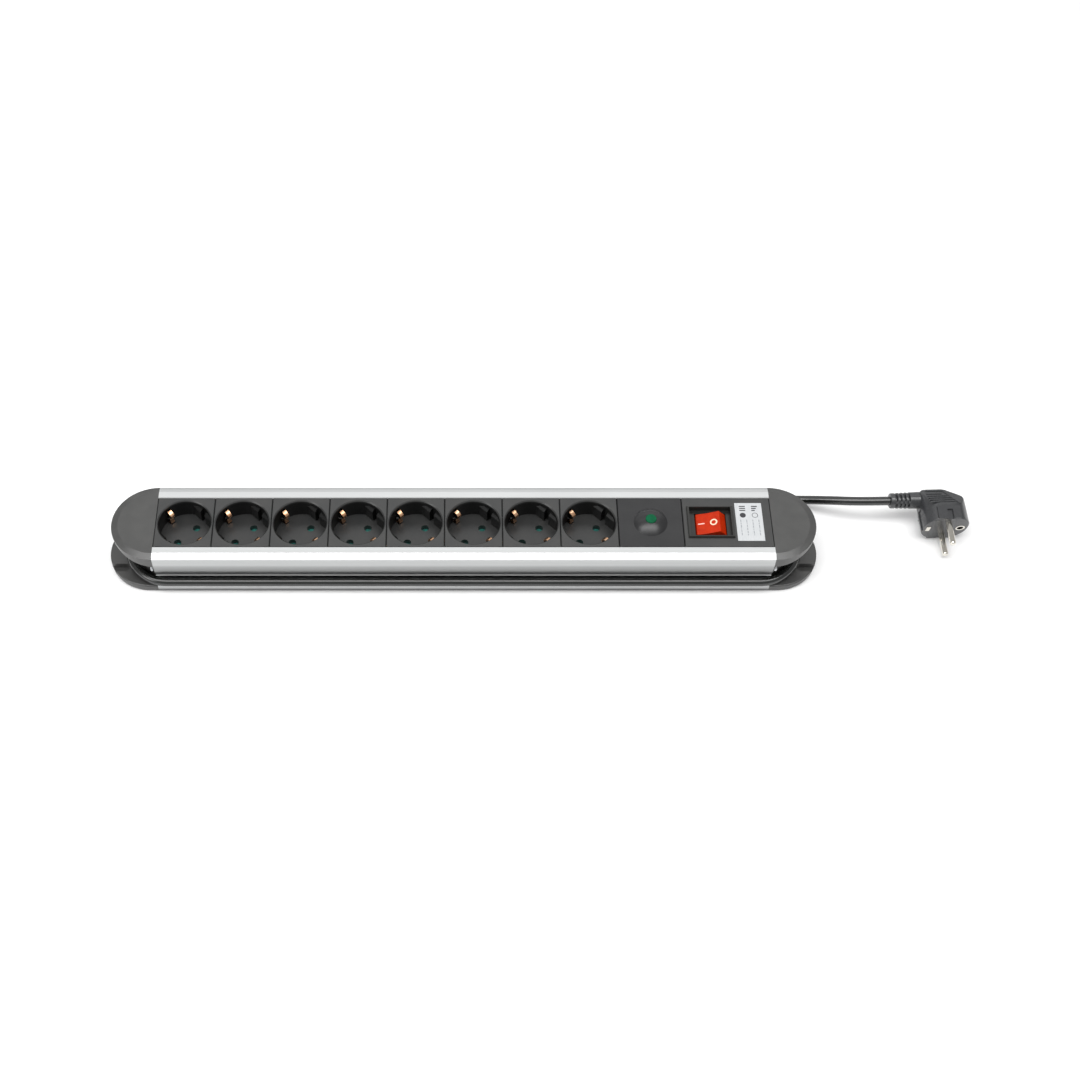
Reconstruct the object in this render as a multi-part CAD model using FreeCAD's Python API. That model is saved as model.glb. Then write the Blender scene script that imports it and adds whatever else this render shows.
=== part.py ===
import FreeCAD, Part
import math
import os
from FreeCAD import Placement, Rotation, Vector

# Eight-way power strip: aluminium profile with a cord groove, black inserts and end caps, a switch
# and an angled plug. X runs along the strip, +Y to the back and +Z up, with the origin at the middle
# of the base. All sizes are in mm.

os.makedirs("parts", exist_ok=True)

# ---------------------------------------------------------------- driving dimensions
SOCKET_COUNT = 8
SOCKET_PITCH = 44.0
INDICATOR_LENGTH = 49.4
SWITCH_LENGTH = 67.6
PROFILE_LENGTH = SOCKET_COUNT * SOCKET_PITCH + INDICATOR_LENGTH + SWITCH_LENGTH
JOINT_X = PROFILE_LENGTH / 2            # where the profile ends and a cap begins
INDICATOR_X0 = -JOINT_X + SOCKET_COUNT * SOCKET_PITCH
SWITCH_X0 = INDICATOR_X0 + INDICATOR_LENGTH
PAST = 1.0                              # how far a cutting shape runs on past what it cuts
TOUCH = 0.1                             # play between parts that slide together

# housing profile, as half widths from the middle plane and heights above the base
TOP_Z = 44.2
RIM_INNER = 22.75                       # slot for the inserts
RIM_OUTER = 28.7                        # where the top chamfer begins
BODY_HALF = 33.8
CHAMFER_Z = 42.7
WALL_FLAT_Z = 34.0                      # the side is upright above this height and curved below
LIP_HALF = 30.5
LIP_Z = 16.8
LIP_HEIGHT = 1.6                        # the curve ends this far above the lip's underside
LIP_BEAD = 0.4
WAIST_HALF = 27.0
FLANGE_HALF = 33.5
FLANGE_Z = 6.8
FLANGE_TUCK = 0.7                       # how far the flange's edge draws in at the base
FLANGE_TUCK_Z = 2.6
EDGE = 0.6                              # small edge breaks
SKIN = 1.7
CHANNEL_HALF = 25.0
CHANNEL_FLOOR = 2.0
RAIL_TOP = 42.7
RAIL_BOTTOM = 38.8
LEDGE_HALF = 23.3
LEDGE_BOTTOM = 37.3
PORT_Y = 23.4                           # screw ports that run along the channel's side walls
PORT_Z = 17.0
PORT_R = 3.3
PORT_HOLE_R = 1.45
SLOT_DEPTH = 6.0                        # depth of the cord slot in the back wall, from the channel

# end caps
CAP_DISC_R = 33.8
CAP_UNDER = [(0.0, 33.2), (17.0, 36.0), (33.8, 41.6)]   # the roof's underside, as reach and height
CAP_PLATE = 3.0                         # plate that meets the profile
CAP_PLATE_HALF = 25.6
CAP_WAIST_R = 27.0
CAP_WAIST_BACK = 8.5                    # the waist's circle is centred this far inside the joint
CAP_FOOT_R = 33.5
CAP_FOOT_OUT = 6.5                      # the foot's circle is centred this far outside the joint
CAP_WALL = 2.4
CAP_THROAT_HALF = 19.4
FOOT_ROUND = 1.1
NOTCH_WIDTH = 7.2
NOTCH_Y = 16.2
NOTCH_IN = 23.2                         # inner end of the notch, from the joint
NOTCH_DEPTH = 5.0
LUG_Y = 19.5
LUG_HALF = 1.4
LUG_REACH = 5.0
LUG_Z = 25.5
LUG_HEIGHT = 5.0
SCREW_HEAD_R = 3.0
SCREW_HEAD_H = 2.0
SCREW_HEAD_ROUND = 0.9
SCREW_CROSS_WIDE = 1.7
SCREW_CROSS_THIN = 0.45
SCREW_R = 1.4
SCREW_LENGTH = 14.0
SCREW_PLAY = 0.4

# inserts
INSERT_HALF = 22.65
INSERT_TOP = 44.05
PLATE = 2.1
INSERT_GAP = 0.3
INSERT_EDGE = 0.5
RAIL_HALF = 24.8
RAIL_INNER = 20.4
RAIL_PLAY = 0.15
WELL_R = 20.2
WELL_RIM_R = 21.0
WELL_WALL_R = 21.6
WELL_DEPTH = 17.3
WELL_FLOOR = INSERT_TOP - WELL_DEPTH
FLOOR_THICKNESS = 4.4
PIN_SPACING = 19.0
PIN_R = 2.4
PIN_LENGTH = 19.0
PIN_TIP = 1.6                           # rounding of the pin's tip
PIN_HOLE_R = 2.9
PIN_ANGLE = 45.0                        # the pin line's direction in plan
GUIDE_REACH = 17.0                      # the guide ribs' flat faces, from the well's axis
GUIDE_TOP = INSERT_TOP - 4.2
GUIDE_SLOPE_X = 1.6
GUIDE_SLOPE_Z = 1.8
GUIDE_SLOT = 4.6
ROOT = 0.5                              # how far one solid reaches into the next it is fused with
PIN_OFFSET = PIN_SPACING / 2 * math.cos(math.radians(PIN_ANGLE))

# shutters
SHUTTER_TOP = WELL_FLOOR - FLOOR_THICKNESS - 0.3
SHUTTER_THICKNESS = 2.4
SHUTTER_HUB_R = 4.2
SHUTTER_ARM = 12.9
SHUTTER_BORE_R = 1.65
SHUTTER_SPRING_DEPTH = 0.9
PIVOT_R = 1.6
PIVOT_END = 18.9
SPRING_COIL_R = 2.3
SPRING_WIRE_R = 0.2
SPRING_TURNS = 2

# contacts and busbars
BAR_START = -JOINT_X + 6.0
BAR_END = INDICATOR_X0 + 8.0
BAR_Z = 6.4
BAR_THICKNESS = 0.8
BAR_WIDTH = 6.4
LEAF_GAP = 4.9
LEAF_LENGTH = 7.0
LEAF_TOP = 16.4
EARTH_Z = 17.4
EARTH_WIDTH = 6.0
CLIP_WIDTH = 3.2
CLIP_SLOT = 4.0
CLIP_SLOT_IN = 16.4
CLIP_SLOT_OUT = 24.0
CLIP_SLOT_TOP = INSERT_TOP - 3.2
CLIP_REACH = 22.6
CLIP_FACE = [                           # the clip's inner face, as reach from the well's axis and height
    (CLIP_REACH, EARTH_Z), (22.4, 22.6), (19.4, 25.4), (16.4, 28.0), (17.4, 32.0),
    (14.6, 36.6), (16.4, 39.0), (19.0, 40.1),
]
CARRIER_TOP = 6.3
CARRIER_HALF = 19.0
CARRIER_RIB_HALF = 2.6
CARRIER_OVERHANG = 3.0
CARRIER_WALL_IN = 11.6
CARRIER_WALL_OUT = 13.4

# indicator
INDICATOR_X = INDICATOR_X0 + INDICATOR_LENGTH / 2
DOME_R = 13.2
DOME_H = 5.0
DOME_WALL = 1.8
DOME_SINK = 0.3
LENS_R = 4.15
LENS_HEIGHT = 3.4
LENS_ROUND = 0.5
LENS_SHOULDER = 0.5
LENS_ROOF = 1.6
BOARD_Z = 26.0
BOARD_THICKNESS = 1.6
BOARD_TOP = BOARD_Z + BOARD_THICKNESS
BOARD_HALF_X = 21.0
BOARD_HALF_Y = 18.0
POST_X = 18.0
POST_Y = 15.0
POST_R = 2.4
LED_R = 2.5
LED_HEIGHT = 7.0
LED_TOP = INSERT_TOP + DOME_H - 1.9
LED_LEG_X = 1.27
LED_LEG_R = 0.3
VARISTOR_X = (-13.0, -6.0, 7.0)
VARISTOR_Y = 9.0
VARISTOR_R = 6.0
VARISTOR_WIDTH = 4.0
VARISTOR_LIFT = 6.2
FUSE_Y = -11.0
FUSE_R = 2.2
FUSE_LENGTH = 12.0
FUSE_LIFT = 3.0
LEG_R = 0.4
LEG_HEIGHT = 3.0

# switch
BEZEL_X0 = 170.2
BEZEL_X1 = 205.5
BEZEL_HALF = 14.4
BEZEL_TOP = 45.7
BEZEL_CHAMFER = 0.5
BEZEL_LIP = 1.1
BEZEL_WALL = 1.9
HOUSING_HALF = 14.0
RECESS_FLOOR = 41.1
RECESS_PLATE = 1.5
RECESS_HALF = 13.2
PIVOT_X = 188.2
PIVOT_Z = 35.6
ROCKER_HALF = 9.6
ROCKER_WALL = 1.3
ROCKER_TOP_X = 8.95
ROCKER_TOP_Z = 8.3
ROCKER_DISH_Z = 7.8
ROCKER_END_X = 12.35
ROCKER_END_Z = 2.1
ROCKER_SKIRT_Z = -2.0
ROCKER_BOTTOM_X = 8.6
ROCKER_BOTTOM_Z = -3.6
ROCKER_ROUND = 0.6
ROCKER_TILT = 16.0                      # rest tilt; the other stop is as far the other way
ROCKER_OPENING = 12.0
ROCKER_PLAY = 0.4
ROOM_HALF_X = 14.0
ROOM_HALF_Y = 11.4
AXLE_R = 1.6
AXLE_BORE_R = 1.65
AXLE_START = 9.0
AXLE_END = 12.8
GUIDE_TUBE_R = 2.7
GUIDE_TUBE_BORE = 1.75
GUIDE_TUBE_ROOF = 6.4
PLUNGER_R = 1.68
PLUNGER_TIP_Z = -11.0
PLUNGER_TOP_Z = 0.8
COIL_R = 1.2
COIL_WIRE_R = 0.22
COIL_PITCH = 0.9
COIL_HEIGHT = 5.2
SWITCH_BOTTOM = 16.0
SWITCH_FLOOR = 18.0
BLADE_SPACING_X = 9.0
BLADE_Y = 6.0
BLADE_HALF_X = 0.4
BLADE_HALF_Y = 2.4
BLADE_BOTTOM = 8.5
BLADE_STAND = 0.8
BRIDGE_Z = PIVOT_Z - 15.2
BRIDGE_HALF = 9.0
BRIDGE_BAR_HALF = 2.0
BRIDGE_THICKNESS = 0.8
YOKE_X = 5.5
YOKE_Y = 4.5
KEEL_R = 0.8
KEEL_HALF = 4.0
LABEL_X0 = 207.3
LABEL_X1 = 227.8
LABEL_Y0 = -17.4
LABEL_Y1 = 18.0
LABEL_THICKNESS = 0.15

# cord entry and inner wires
CORD_R = 3.5
INLET_X0 = 146.0
INLET_X1 = 164.0
INLET_Y = 29.6
INLET_Z = 11.6
INLET_DEPTH = 20.0                      # the entry block's inner face
INLET_OUT = 6.6                         # how far the block stands out from the waist
SLEEVE_END = 186.0
SLOT_END = 208.0                        # the slot in the back wall that the cord leaves through
SLEEVE_R0 = 4.2
SLEEVE_R1 = 3.9
CLAMP_X = INLET_X0 + 9.6
CLAMP_HALF = 13.0
CLAMP_Y0 = 11.0
CLAMP_Y1 = 17.0
CLAMP_TOP = INLET_Z + 6.2
CLAMP_UNDER = INLET_Z + 2.6
CLAMP_SCREW_X = 9.5
CLAMP_FOOT_HALF = 3.2
CLAMP_SCREW_R = 1.2
CLAMP_HEAD_R = 2.6
CLAMP_HEAD_H = 2.0
WIRE_R = 1.2
BLADE_X = PIVOT_X - 9.7                 # where the lead-in wires meet the first blades

# cord route
CORD_Y = 32.0                           # the cord's centre line in the side grooves
CORD_Z = 10.4
LOOP_REACH = 23.5                       # how far a loop's centre line goes past the joint
LOOP_CORNER_Y = 13.25
LOOP_CORNER_X = 4.75
ARC_SHARE = 0.45

# plug, in its own frame: X away from the cord along the cable's axis, Y along the pin line, Z out of
# the face, origin on the face
PLUG_FACE = Vector(374.4, 13.4, 17.6)
PLUG_TIP_DOWN = 9.3
PLUG_TURN = 3.6
PLUG_LEAN = 2.7
PLUG_R = 18.6
PLUG_FLAT = 17.3                        # half thickness across the flat flanks
PLUG_BACK = -31.8
PLUG_BACK_HALF = 6.0
FLANK_Z = -13.9                         # behind this the flanks draw in
PLUG_SIDE = [                           # outline seen along the pin line
    (-PLUG_R, 0), (PLUG_R, 0), (PLUG_R, -8), (17.0, -20), (1.0, PLUG_BACK),
    (-14.0, PLUG_BACK), (-17.3, -29), (-17.8, -17), (-PLUG_R, -10),
]
SLOT_FLOOR = 1.4
SLOT_BACK = -10.5
RIB_COUNT = 5
RIB_FIRST_Z = -15.8
RIB_PITCH = 2.9
RIB_HALF = 0.55
RIB_RISE = 0.45
RIB_X0 = -12.5
RIB_X1 = 15.0
EARTH_HOLE_X = 12.0
EARTH_HOLE_R = 2.4
EARTH_HOLE_RIM = 3.7
EARTH_HOLE_DEPTH = 14.0
STRIP_HALF = 3.2
STRIP_THICKNESS = 0.8
STRIP_BACK = -9.0
STRIP_X0 = -15.2                        # where the strip comes out of the face and where it ends
STRIP_X1 = -12.0
RECESS_X = -16.9                        # groove in the rim beside the strip
RECESS_BACK = -15.5
BOOT_AXIS_Z = -25.0
BOOT_END_X = -40.0
BOOT_START_X = -16.0
BOOT_ROOT = 1.9
BOOT_R0 = 6.7
BOOT_R1 = 6.0
BOOT_CORE = 1.65
BOOT_TENON = 7.5
BOOT_SLOTS = 4
BOOT_SLOT_FIRST = 4.2
BOOT_SLOT_PITCH = 3.3
BOOT_SLOT_HALF = 0.75
BOOT_SLOT_DEPTH = 4.9

UP = Vector(0, 0, 1)
ALONG = Vector(1, 0, 0)
BACK = Vector(0, 1, 0)
ORIGIN = Vector(0, 0, 0)


# ---------------------------------------------------------------- helpers
def box(x0, x1, y0, y1, z0, z1):
    return Part.makeBox(x1 - x0, y1 - y0, z1 - z0, Vector(x0, y0, z0))


def side_box(x0, x1, side, y_near, y_far, z0, z1):
    """Box on the +Y side when side is 1 and on the -Y side when it is -1."""
    y0, y1 = sorted((side * y_near, side * y_far))
    return box(x0, x1, y0, y1, z0, z1)


def cylinder(x, y, z0, z1, radius):
    return Part.makeCylinder(radius, z1 - z0, Vector(x, y, z0), UP)


def fuse(solids):
    return solids[0].multiFuse(solids[1:]).removeSplitter()


def cut(solid, tools):
    return solid.cut(Part.makeCompound(tools))


def mirrored_x(shape):
    return shape.mirror(ORIGIN, ALONG)


def mirrored_y(shape):
    return shape.mirror(ORIGIN, BACK)


def line(start, end):
    return Part.LineSegment(start, end).toShape()


def outline_face(points, across, up, arcs=()):
    """Face through 2-D points laid out along across and up; arcs lists where three-point arcs start."""
    placed = [across * u + up * v for u, v in points]
    loop = placed + placed[:1]
    edges = []
    i = 0
    while i < len(points):
        if i in arcs:
            edges.append(Part.Arc(loop[i], loop[i + 1], loop[i + 2]).toShape())
            i += 2
        else:
            edges.append(line(loop[i], loop[i + 1]))
            i += 1
    return Part.Face(Part.Wire(edges))


def prism_x(points, x0, x1, arcs=()):
    """Solid between x0 and x1 with an outline in the Y-Z plane."""
    face = outline_face(points, BACK, UP, arcs)
    face.translate(ALONG * x0)
    return face.extrude(ALONG * (x1 - x0))


def prism_y(points, y0, y1, arcs=()):
    """Solid between y0 and y1 with an outline in the X-Z plane."""
    face = outline_face(points, ALONG, UP, arcs)
    face.translate(BACK * y0)
    return face.extrude(BACK * (y1 - y0))


def top_edges(solid):
    return [edge for edge in solid.Edges if edge.BoundBox.ZMin > solid.BoundBox.ZMax - TOUCH]


def write(node, shape):
    shape.exportStep("parts/" + node + ".step")


def socket_x(index):
    return -JOINT_X + (index + 0.5) * SOCKET_PITCH


def turned(shape, x, angle):
    """Copy turned about the vertical axis through the origin, then moved along the strip to x."""
    moved = shape.copy()
    moved.rotate(ORIGIN, UP, angle)
    moved.translate(ALONG * x)
    return moved


def tube(points, radius):
    """Straight runs joined by tangent arcs, swept with a circle; also gives the length and the radii."""
    edges = []
    radii = []
    previous_end = points[0]
    for i in range(1, len(points) - 1):
        into = points[i] - points[i - 1]
        out = points[i + 1] - points[i]
        half_turn = into.getAngle(out) / 2
        reach = ARC_SHARE * min(into.Length, out.Length)
        radii.append(reach / math.tan(half_turn))
        into.normalize()
        out.normalize()
        arc_start = points[i] - into * reach
        arc_end = points[i] + out * reach
        inward = out - into
        inward.normalize()
        sagitta = radii[-1] * (1 / math.cos(half_turn) - 1)
        edges.append(line(previous_end, arc_start))
        edges.append(Part.Arc(arc_start, points[i] + inward * sagitta, arc_end).toShape())
        previous_end = arc_end
    edges.append(line(previous_end, points[-1]))
    path = Part.Wire(edges)
    section = Part.Wire([Part.Circle(points[0], points[1] - points[0], radius).toShape()])
    return path.makePipeShell([section], True, False), path.Length, radii


def plug_placement():
    lying = Rotation(ALONG, UP, -BACK, "XYZ")
    tip = Rotation(ALONG, PLUG_TIP_DOWN)
    lean = Rotation(BACK, PLUG_LEAN)
    turn = Rotation(UP, PLUG_TURN)
    return Placement(PLUG_FACE, turn.multiply(lean).multiply(tip).multiply(lying))


def on_plug(shape):
    placed = shape.copy()
    placed.Placement = plug_placement().multiply(placed.Placement)
    return placed


# ---------------------------------------------------------------- housing profile
def flange_edge(half):
    """Outline of a flange's outer edge, from the base up to the top."""
    return [
        (half - FLANGE_TUCK, 0), (half, FLANGE_TUCK_Z), (half, FLANGE_Z - EDGE), (half - EDGE, FLANGE_Z),
    ]


def side_curve(inset):
    """Three points of the wall's lower curve, which leaves the upright wall without a corner."""
    drop = WALL_FLAT_Z - LIP_Z - LIP_HEIGHT
    tuck = BODY_HALF - LIP_HALF
    radius = (tuck ** 2 + drop ** 2) / (2 * tuck)
    middle_tuck = radius - math.sqrt(radius ** 2 - drop ** 2 / 4)
    return [
        (LIP_HALF - inset, LIP_Z + LIP_HEIGHT),
        (BODY_HALF - inset - middle_tuck, WALL_FLAT_Z - drop / 2),
        (BODY_HALF - inset, WALL_FLAT_Z),
    ]


def half_section():
    """Outer outline of the profile's +Y half, without its hollows; the curve starts at the arc index."""
    below = [(0, 0)] + flange_edge(FLANGE_HALF) + [
        (WAIST_HALF, FLANGE_Z), (WAIST_HALF, LIP_Z), (LIP_HALF, LIP_Z),
        (LIP_HALF + LIP_BEAD, LIP_Z + LIP_BEAD), (LIP_HALF + LIP_BEAD, LIP_Z + LIP_HEIGHT - LIP_BEAD),
    ]
    above = [
        (BODY_HALF, CHAMFER_Z), (RIM_OUTER, TOP_Z), (RIM_INNER + EDGE, TOP_Z),
        (RIM_INNER, TOP_Z - EDGE), (RIM_INNER, RAIL_TOP), (CHANNEL_HALF, RAIL_TOP),
        (CHANNEL_HALF, RAIL_BOTTOM), (LEDGE_HALF, RAIL_BOTTOM), (LEDGE_HALF, LEDGE_BOTTOM),
        (CHANNEL_HALF, LEDGE_BOTTOM), (CHANNEL_HALF, CHANNEL_FLOOR), (0, CHANNEL_FLOOR),
    ]
    return below + side_curve(0) + above, len(below)


def profile_hollows():
    """The two chambers of the profile's +Y half."""
    inner = CHANNEL_HALF + SKIN
    upper = [(inner, LIP_Z + LIP_HEIGHT)] + side_curve(SKIN) + [
        (BODY_HALF - SKIN, CHAMFER_Z - SKIN), (RIM_OUTER, TOP_Z - SKIN), (inner, TOP_Z - SKIN),
    ]
    outer = FLANGE_HALF - SKIN
    lower = [(WAIST_HALF, SKIN), (outer, SKIN), (outer, FLANGE_Z - SKIN), (WAIST_HALF, FLANGE_Z - SKIN)]
    return prism_x(upper, 0, PROFILE_LENGTH, (1,)), prism_x(lower, 0, PROFILE_LENGTH)


def build_housing_profile():
    outline, arc_at = half_section()
    start = Vector(0, PORT_Y, PORT_Z)
    port = Part.makeCylinder(PORT_R, PROFILE_LENGTH, start, ALONG)
    hole = Part.makeCylinder(PORT_HOLE_R, PROFILE_LENGTH, start, ALONG)
    half = prism_x(outline, 0, PROFILE_LENGTH, (arc_at,)).fuse(port)
    half = cut(half, [*profile_hollows(), hole])
    whole = fuse([half, mirrored_y(half)])
    whole.translate(ALONG * -JOINT_X)
    z0 = FLANGE_Z + 2 * TOUCH
    z1 = LIP_Z - 2 * TOUCH
    return whole.cut(box(INLET_X0, SLOT_END, CHANNEL_HALF - SLOT_DEPTH, WAIST_HALF + PAST, z0, z1))


# ---------------------------------------------------------------- end caps
def half_disc(centre_x, radius, z0, z1):
    disc = cylinder(centre_x, 0, z0, z1, radius)
    return disc.common(box(0, 2 * radius, -2 * radius, 2 * radius, z0, z1))


def below_roof(raised):
    """Everything under the roof's arched underside, with the arch raised."""
    outline = [(x, z + raised) for x, z in CAP_UNDER] + [(CAP_DISC_R + PAST, CAP_UNDER[-1][1] + raised)]
    outline += [(CAP_DISC_R + PAST, 0), (-PAST, 0), (-PAST, CAP_UNDER[0][1] + raised)]
    return prism_y(outline, -CAP_DISC_R - PAST, CAP_DISC_R + PAST, (0,))


def cap_roof():
    profile = [(0, 0), (CAP_DISC_R, 0), (CAP_DISC_R, CHAMFER_Z), (RIM_OUTER, TOP_Z), (0, TOP_Z)]
    roof = outline_face(profile, ALONG, UP).revolve(ORIGIN, UP, 360)
    roof = roof.common(box(0, CAP_DISC_R, -CAP_DISC_R, CAP_DISC_R, 0, TOP_Z))
    return roof.cut(below_roof(0))


def cap_foot():
    turn = FOOT_ROUND * (1 - math.sqrt(0.5))
    rounded = [
        (0, 0), (CAP_FOOT_R - FLANGE_TUCK, 0), (CAP_FOOT_R, FLANGE_TUCK_Z),
        (CAP_FOOT_R, FLANGE_Z - FOOT_ROUND), (CAP_FOOT_R - turn, FLANGE_Z - turn),
        (CAP_FOOT_R - FOOT_ROUND, FLANGE_Z), (0, FLANGE_Z),
    ]
    disc = outline_face(rounded, ALONG, UP, (3,)).revolve(ORIGIN, UP, 360)
    disc.translate(ALONG * CAP_FOOT_OUT)
    reach = CAP_FOOT_OUT + CAP_FOOT_R
    disc = disc.common(box(CAP_FOOT_OUT, reach, -CAP_FOOT_R, CAP_FOOT_R, 0, FLANGE_Z))
    edge = rounded[1:6]
    section = edge + [(-y, z) for y, z in edge[::-1]]
    return [disc, prism_x(section, 0, CAP_FOOT_OUT, (2, 5))]


def build_end_cap():
    """Cap with its joint at X 0 and its end towards +X."""
    join_z = CAP_UNDER[0][1] + CAP_WALL
    waist = half_disc(-CAP_WAIST_BACK, CAP_WAIST_R, FLANGE_Z - PAST, TOP_Z - CAP_WALL)
    plate = box(0, CAP_PLATE, -CAP_PLATE_HALF, CAP_PLATE_HALF, FLANGE_Z - PAST, join_z)
    cap = fuse([cap_roof(), waist, plate] + cap_foot())

    roof_top = TOP_Z - CAP_WALL
    roof_hollow = half_disc(0, CAP_DISC_R - CAP_WALL, CAP_UNDER[0][1], roof_top).cut(below_roof(CAP_WALL))
    throat = half_disc(-CAP_WAIST_BACK, CAP_WAIST_R - CAP_WALL, CAP_WALL, roof_top)
    throat = throat.common(box(0, CAP_WAIST_R, -CAP_THROAT_HALF, CAP_THROAT_HALF, 0, TOP_Z))
    cuts = [roof_hollow, throat]
    half = NOTCH_WIDTH / 2
    notch_x = NOTCH_IN + half
    notch_z = FLANGE_Z - NOTCH_DEPTH
    notch_end = CAP_FOOT_OUT + CAP_FOOT_R + PAST
    for side in (-1, 1):
        y = side * PORT_Y
        pocket = Vector(CAP_PLATE, y, PORT_Z)
        cuts.append(Part.makeCylinder(SCREW_HEAD_R + SCREW_PLAY, CAP_FOOT_R, pocket, ALONG))
        bore = Vector(-PAST, y, PORT_Z)
        cuts.append(Part.makeCylinder(SCREW_R + SCREW_PLAY, CAP_PLATE + 2 * PAST, bore, ALONG))
        y = side * NOTCH_Y
        cuts.append(cylinder(notch_x, y, notch_z, FLANGE_Z + PAST, half))
        cuts.append(box(notch_x, notch_end, y - half, y + half, notch_z, FLANGE_Z + PAST))
    cap = cut(cap, cuts)
    lugs = []
    for side in (-1, 1):
        y = side * LUG_Y
        lugs.append(box(-LUG_REACH, CAP_PLATE, y - LUG_HALF, y + LUG_HALF, LUG_Z, LUG_Z + LUG_HEIGHT))
    return fuse([cap] + lugs)


def build_right_end_cap():
    cap = build_end_cap()
    cap.translate(ALONG * JOINT_X)
    return cap


def build_left_end_cap():
    return mirrored_x(build_right_end_cap())


def build_end_cap_screws():
    screws = []
    for side in (-1, 1):
        start = Vector(JOINT_X + CAP_PLATE, side * PORT_Y, PORT_Z)
        shank = Part.makeCylinder(SCREW_R, SCREW_LENGTH, start, -ALONG)
        head = Part.makeCylinder(SCREW_HEAD_R, SCREW_HEAD_H, start, ALONG)
        outer = [edge for edge in head.Edges if edge.BoundBox.XMin > start.x + PAST]
        head = head.makeFillet(SCREW_HEAD_ROUND, outer)
        tip = start + ALONG * (SCREW_HEAD_H - SCREW_HEAD_ROUND)
        cross = []
        for wide, tall in ((SCREW_CROSS_THIN, SCREW_CROSS_WIDE), (SCREW_CROSS_WIDE, SCREW_CROSS_THIN)):
            end = tip.x + SCREW_HEAD_H
            cross.append(box(tip.x, end, tip.y - wide, tip.y + wide, tip.z - tall, tip.z + tall))
        screws.append(cut(shank.fuse(head), cross))
    right = Part.makeCompound(screws)
    return Part.makeCompound([right, mirrored_x(right)])


# ---------------------------------------------------------------- inserts
def insert_plate(x0, x1):
    """Top plate with side rails that slide in the profile's grooves."""
    a = x0 + INSERT_GAP / 2
    b = x1 - INSERT_GAP / 2
    e = INSERT_EDGE
    z0 = INSERT_TOP - PLATE
    outline = [
        (a, z0), (b, z0), (b, INSERT_TOP - e), (b - e, INSERT_TOP), (a + e, INSERT_TOP), (a, INSERT_TOP - e),
    ]
    pieces = [prism_y(outline, -INSERT_HALF, INSERT_HALF)]
    for side in (-1, 1):
        z0 = RAIL_BOTTOM + RAIL_PLAY
        z1 = RAIL_TOP - RAIL_PLAY
        pieces.append(side_box(a, b, side, RAIL_INNER, RAIL_HALF, z0, z1))
    return fuse(pieces)


def guide_rib():
    """Segment on the +X side of a well, with a flat face and a slot for the plug's guide."""
    sunk = WELL_FLOOR - ROOT
    outline = [
        (GUIDE_REACH, sunk), (WELL_R + ROOT, sunk), (WELL_R + ROOT, GUIDE_TOP),
        (GUIDE_REACH + GUIDE_SLOPE_X, GUIDE_TOP), (GUIDE_REACH, GUIDE_TOP - GUIDE_SLOPE_Z),
    ]
    rib = prism_y(outline, -WELL_R, WELL_R).common(cylinder(0, 0, 0, INSERT_TOP, WELL_R + ROOT))
    return rib.cut(box(0, WELL_R, -GUIDE_SLOT / 2, GUIDE_SLOT / 2, WELL_FLOOR, INSERT_TOP))


def build_socket(x):
    shell = fuse([
        insert_plate(x - SOCKET_PITCH / 2, x + SOCKET_PITCH / 2),
        cylinder(x, 0, WELL_FLOOR - FLOOR_THICKNESS, INSERT_TOP - PLATE / 2, WELL_WALL_R),
    ])
    widening = WELL_RIM_R - WELL_R
    rim = Part.makeCone(WELL_R, WELL_RIM_R, widening, Vector(x, 0, INSERT_TOP - widening), UP)
    shell = cut(shell, [cylinder(x, 0, WELL_FLOOR, INSERT_TOP + PAST, WELL_R), rim])
    pivot = cylinder(x, 0, PIVOT_END, WELL_FLOOR - ROOT, PIVOT_R)
    pin_turns = (PIN_ANGLE, PIN_ANGLE + 180)
    shell = fuse([shell, pivot] + [turned(guide_rib(), x, turn) for turn in pin_turns])
    pin_hole = cylinder(PIN_SPACING / 2, 0, 0, INSERT_TOP, PIN_HOLE_R)
    cuts = [turned(pin_hole, x, turn) for turn in pin_turns]
    clip_slot = box(CLIP_SLOT_IN, CLIP_SLOT_OUT, -CLIP_SLOT / 2, CLIP_SLOT / 2, EARTH_Z, CLIP_SLOT_TOP)
    cuts += [turned(clip_slot, x, turn + 90) for turn in pin_turns]
    return cut(shell, cuts)


def build_shutter(x):
    z1 = SHUTTER_TOP
    z0 = z1 - SHUTTER_THICKNESS
    reach = SHUTTER_ARM - PIN_HOLE_R
    arm = box(-reach, reach, -PIN_HOLE_R, PIN_HOLE_R, z0, z1)
    ends = [cylinder(side * reach, 0, z0, z1, PIN_HOLE_R) for side in (-1, 1)]
    solid = fuse([arm, cylinder(0, 0, z0, z1, SHUTTER_HUB_R)] + ends)
    spring_seat = cylinder(0, 0, z0 - PAST, z0 + SHUTTER_SPRING_DEPTH, SPRING_COIL_R + ROOT)
    solid = cut(solid, [cylinder(0, 0, z0 - PAST, z1 + PAST, SHUTTER_BORE_R), spring_seat])
    return turned(solid, x, PIN_ANGLE)


def build_shutter_springs():
    springs = []
    z = SHUTTER_TOP - SHUTTER_THICKNESS + SPRING_WIRE_R / 2
    pitch = SPRING_WIRE_R * 1.8
    for i in range(SOCKET_COUNT):
        centres = [Vector(socket_x(i), 0, z + turn * pitch) for turn in range(SPRING_TURNS)]
        springs.append(fuse([Part.makeTorus(SPRING_COIL_R, SPRING_WIRE_R, at, UP) for at in centres]))
    return Part.makeCompound(springs)


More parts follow.
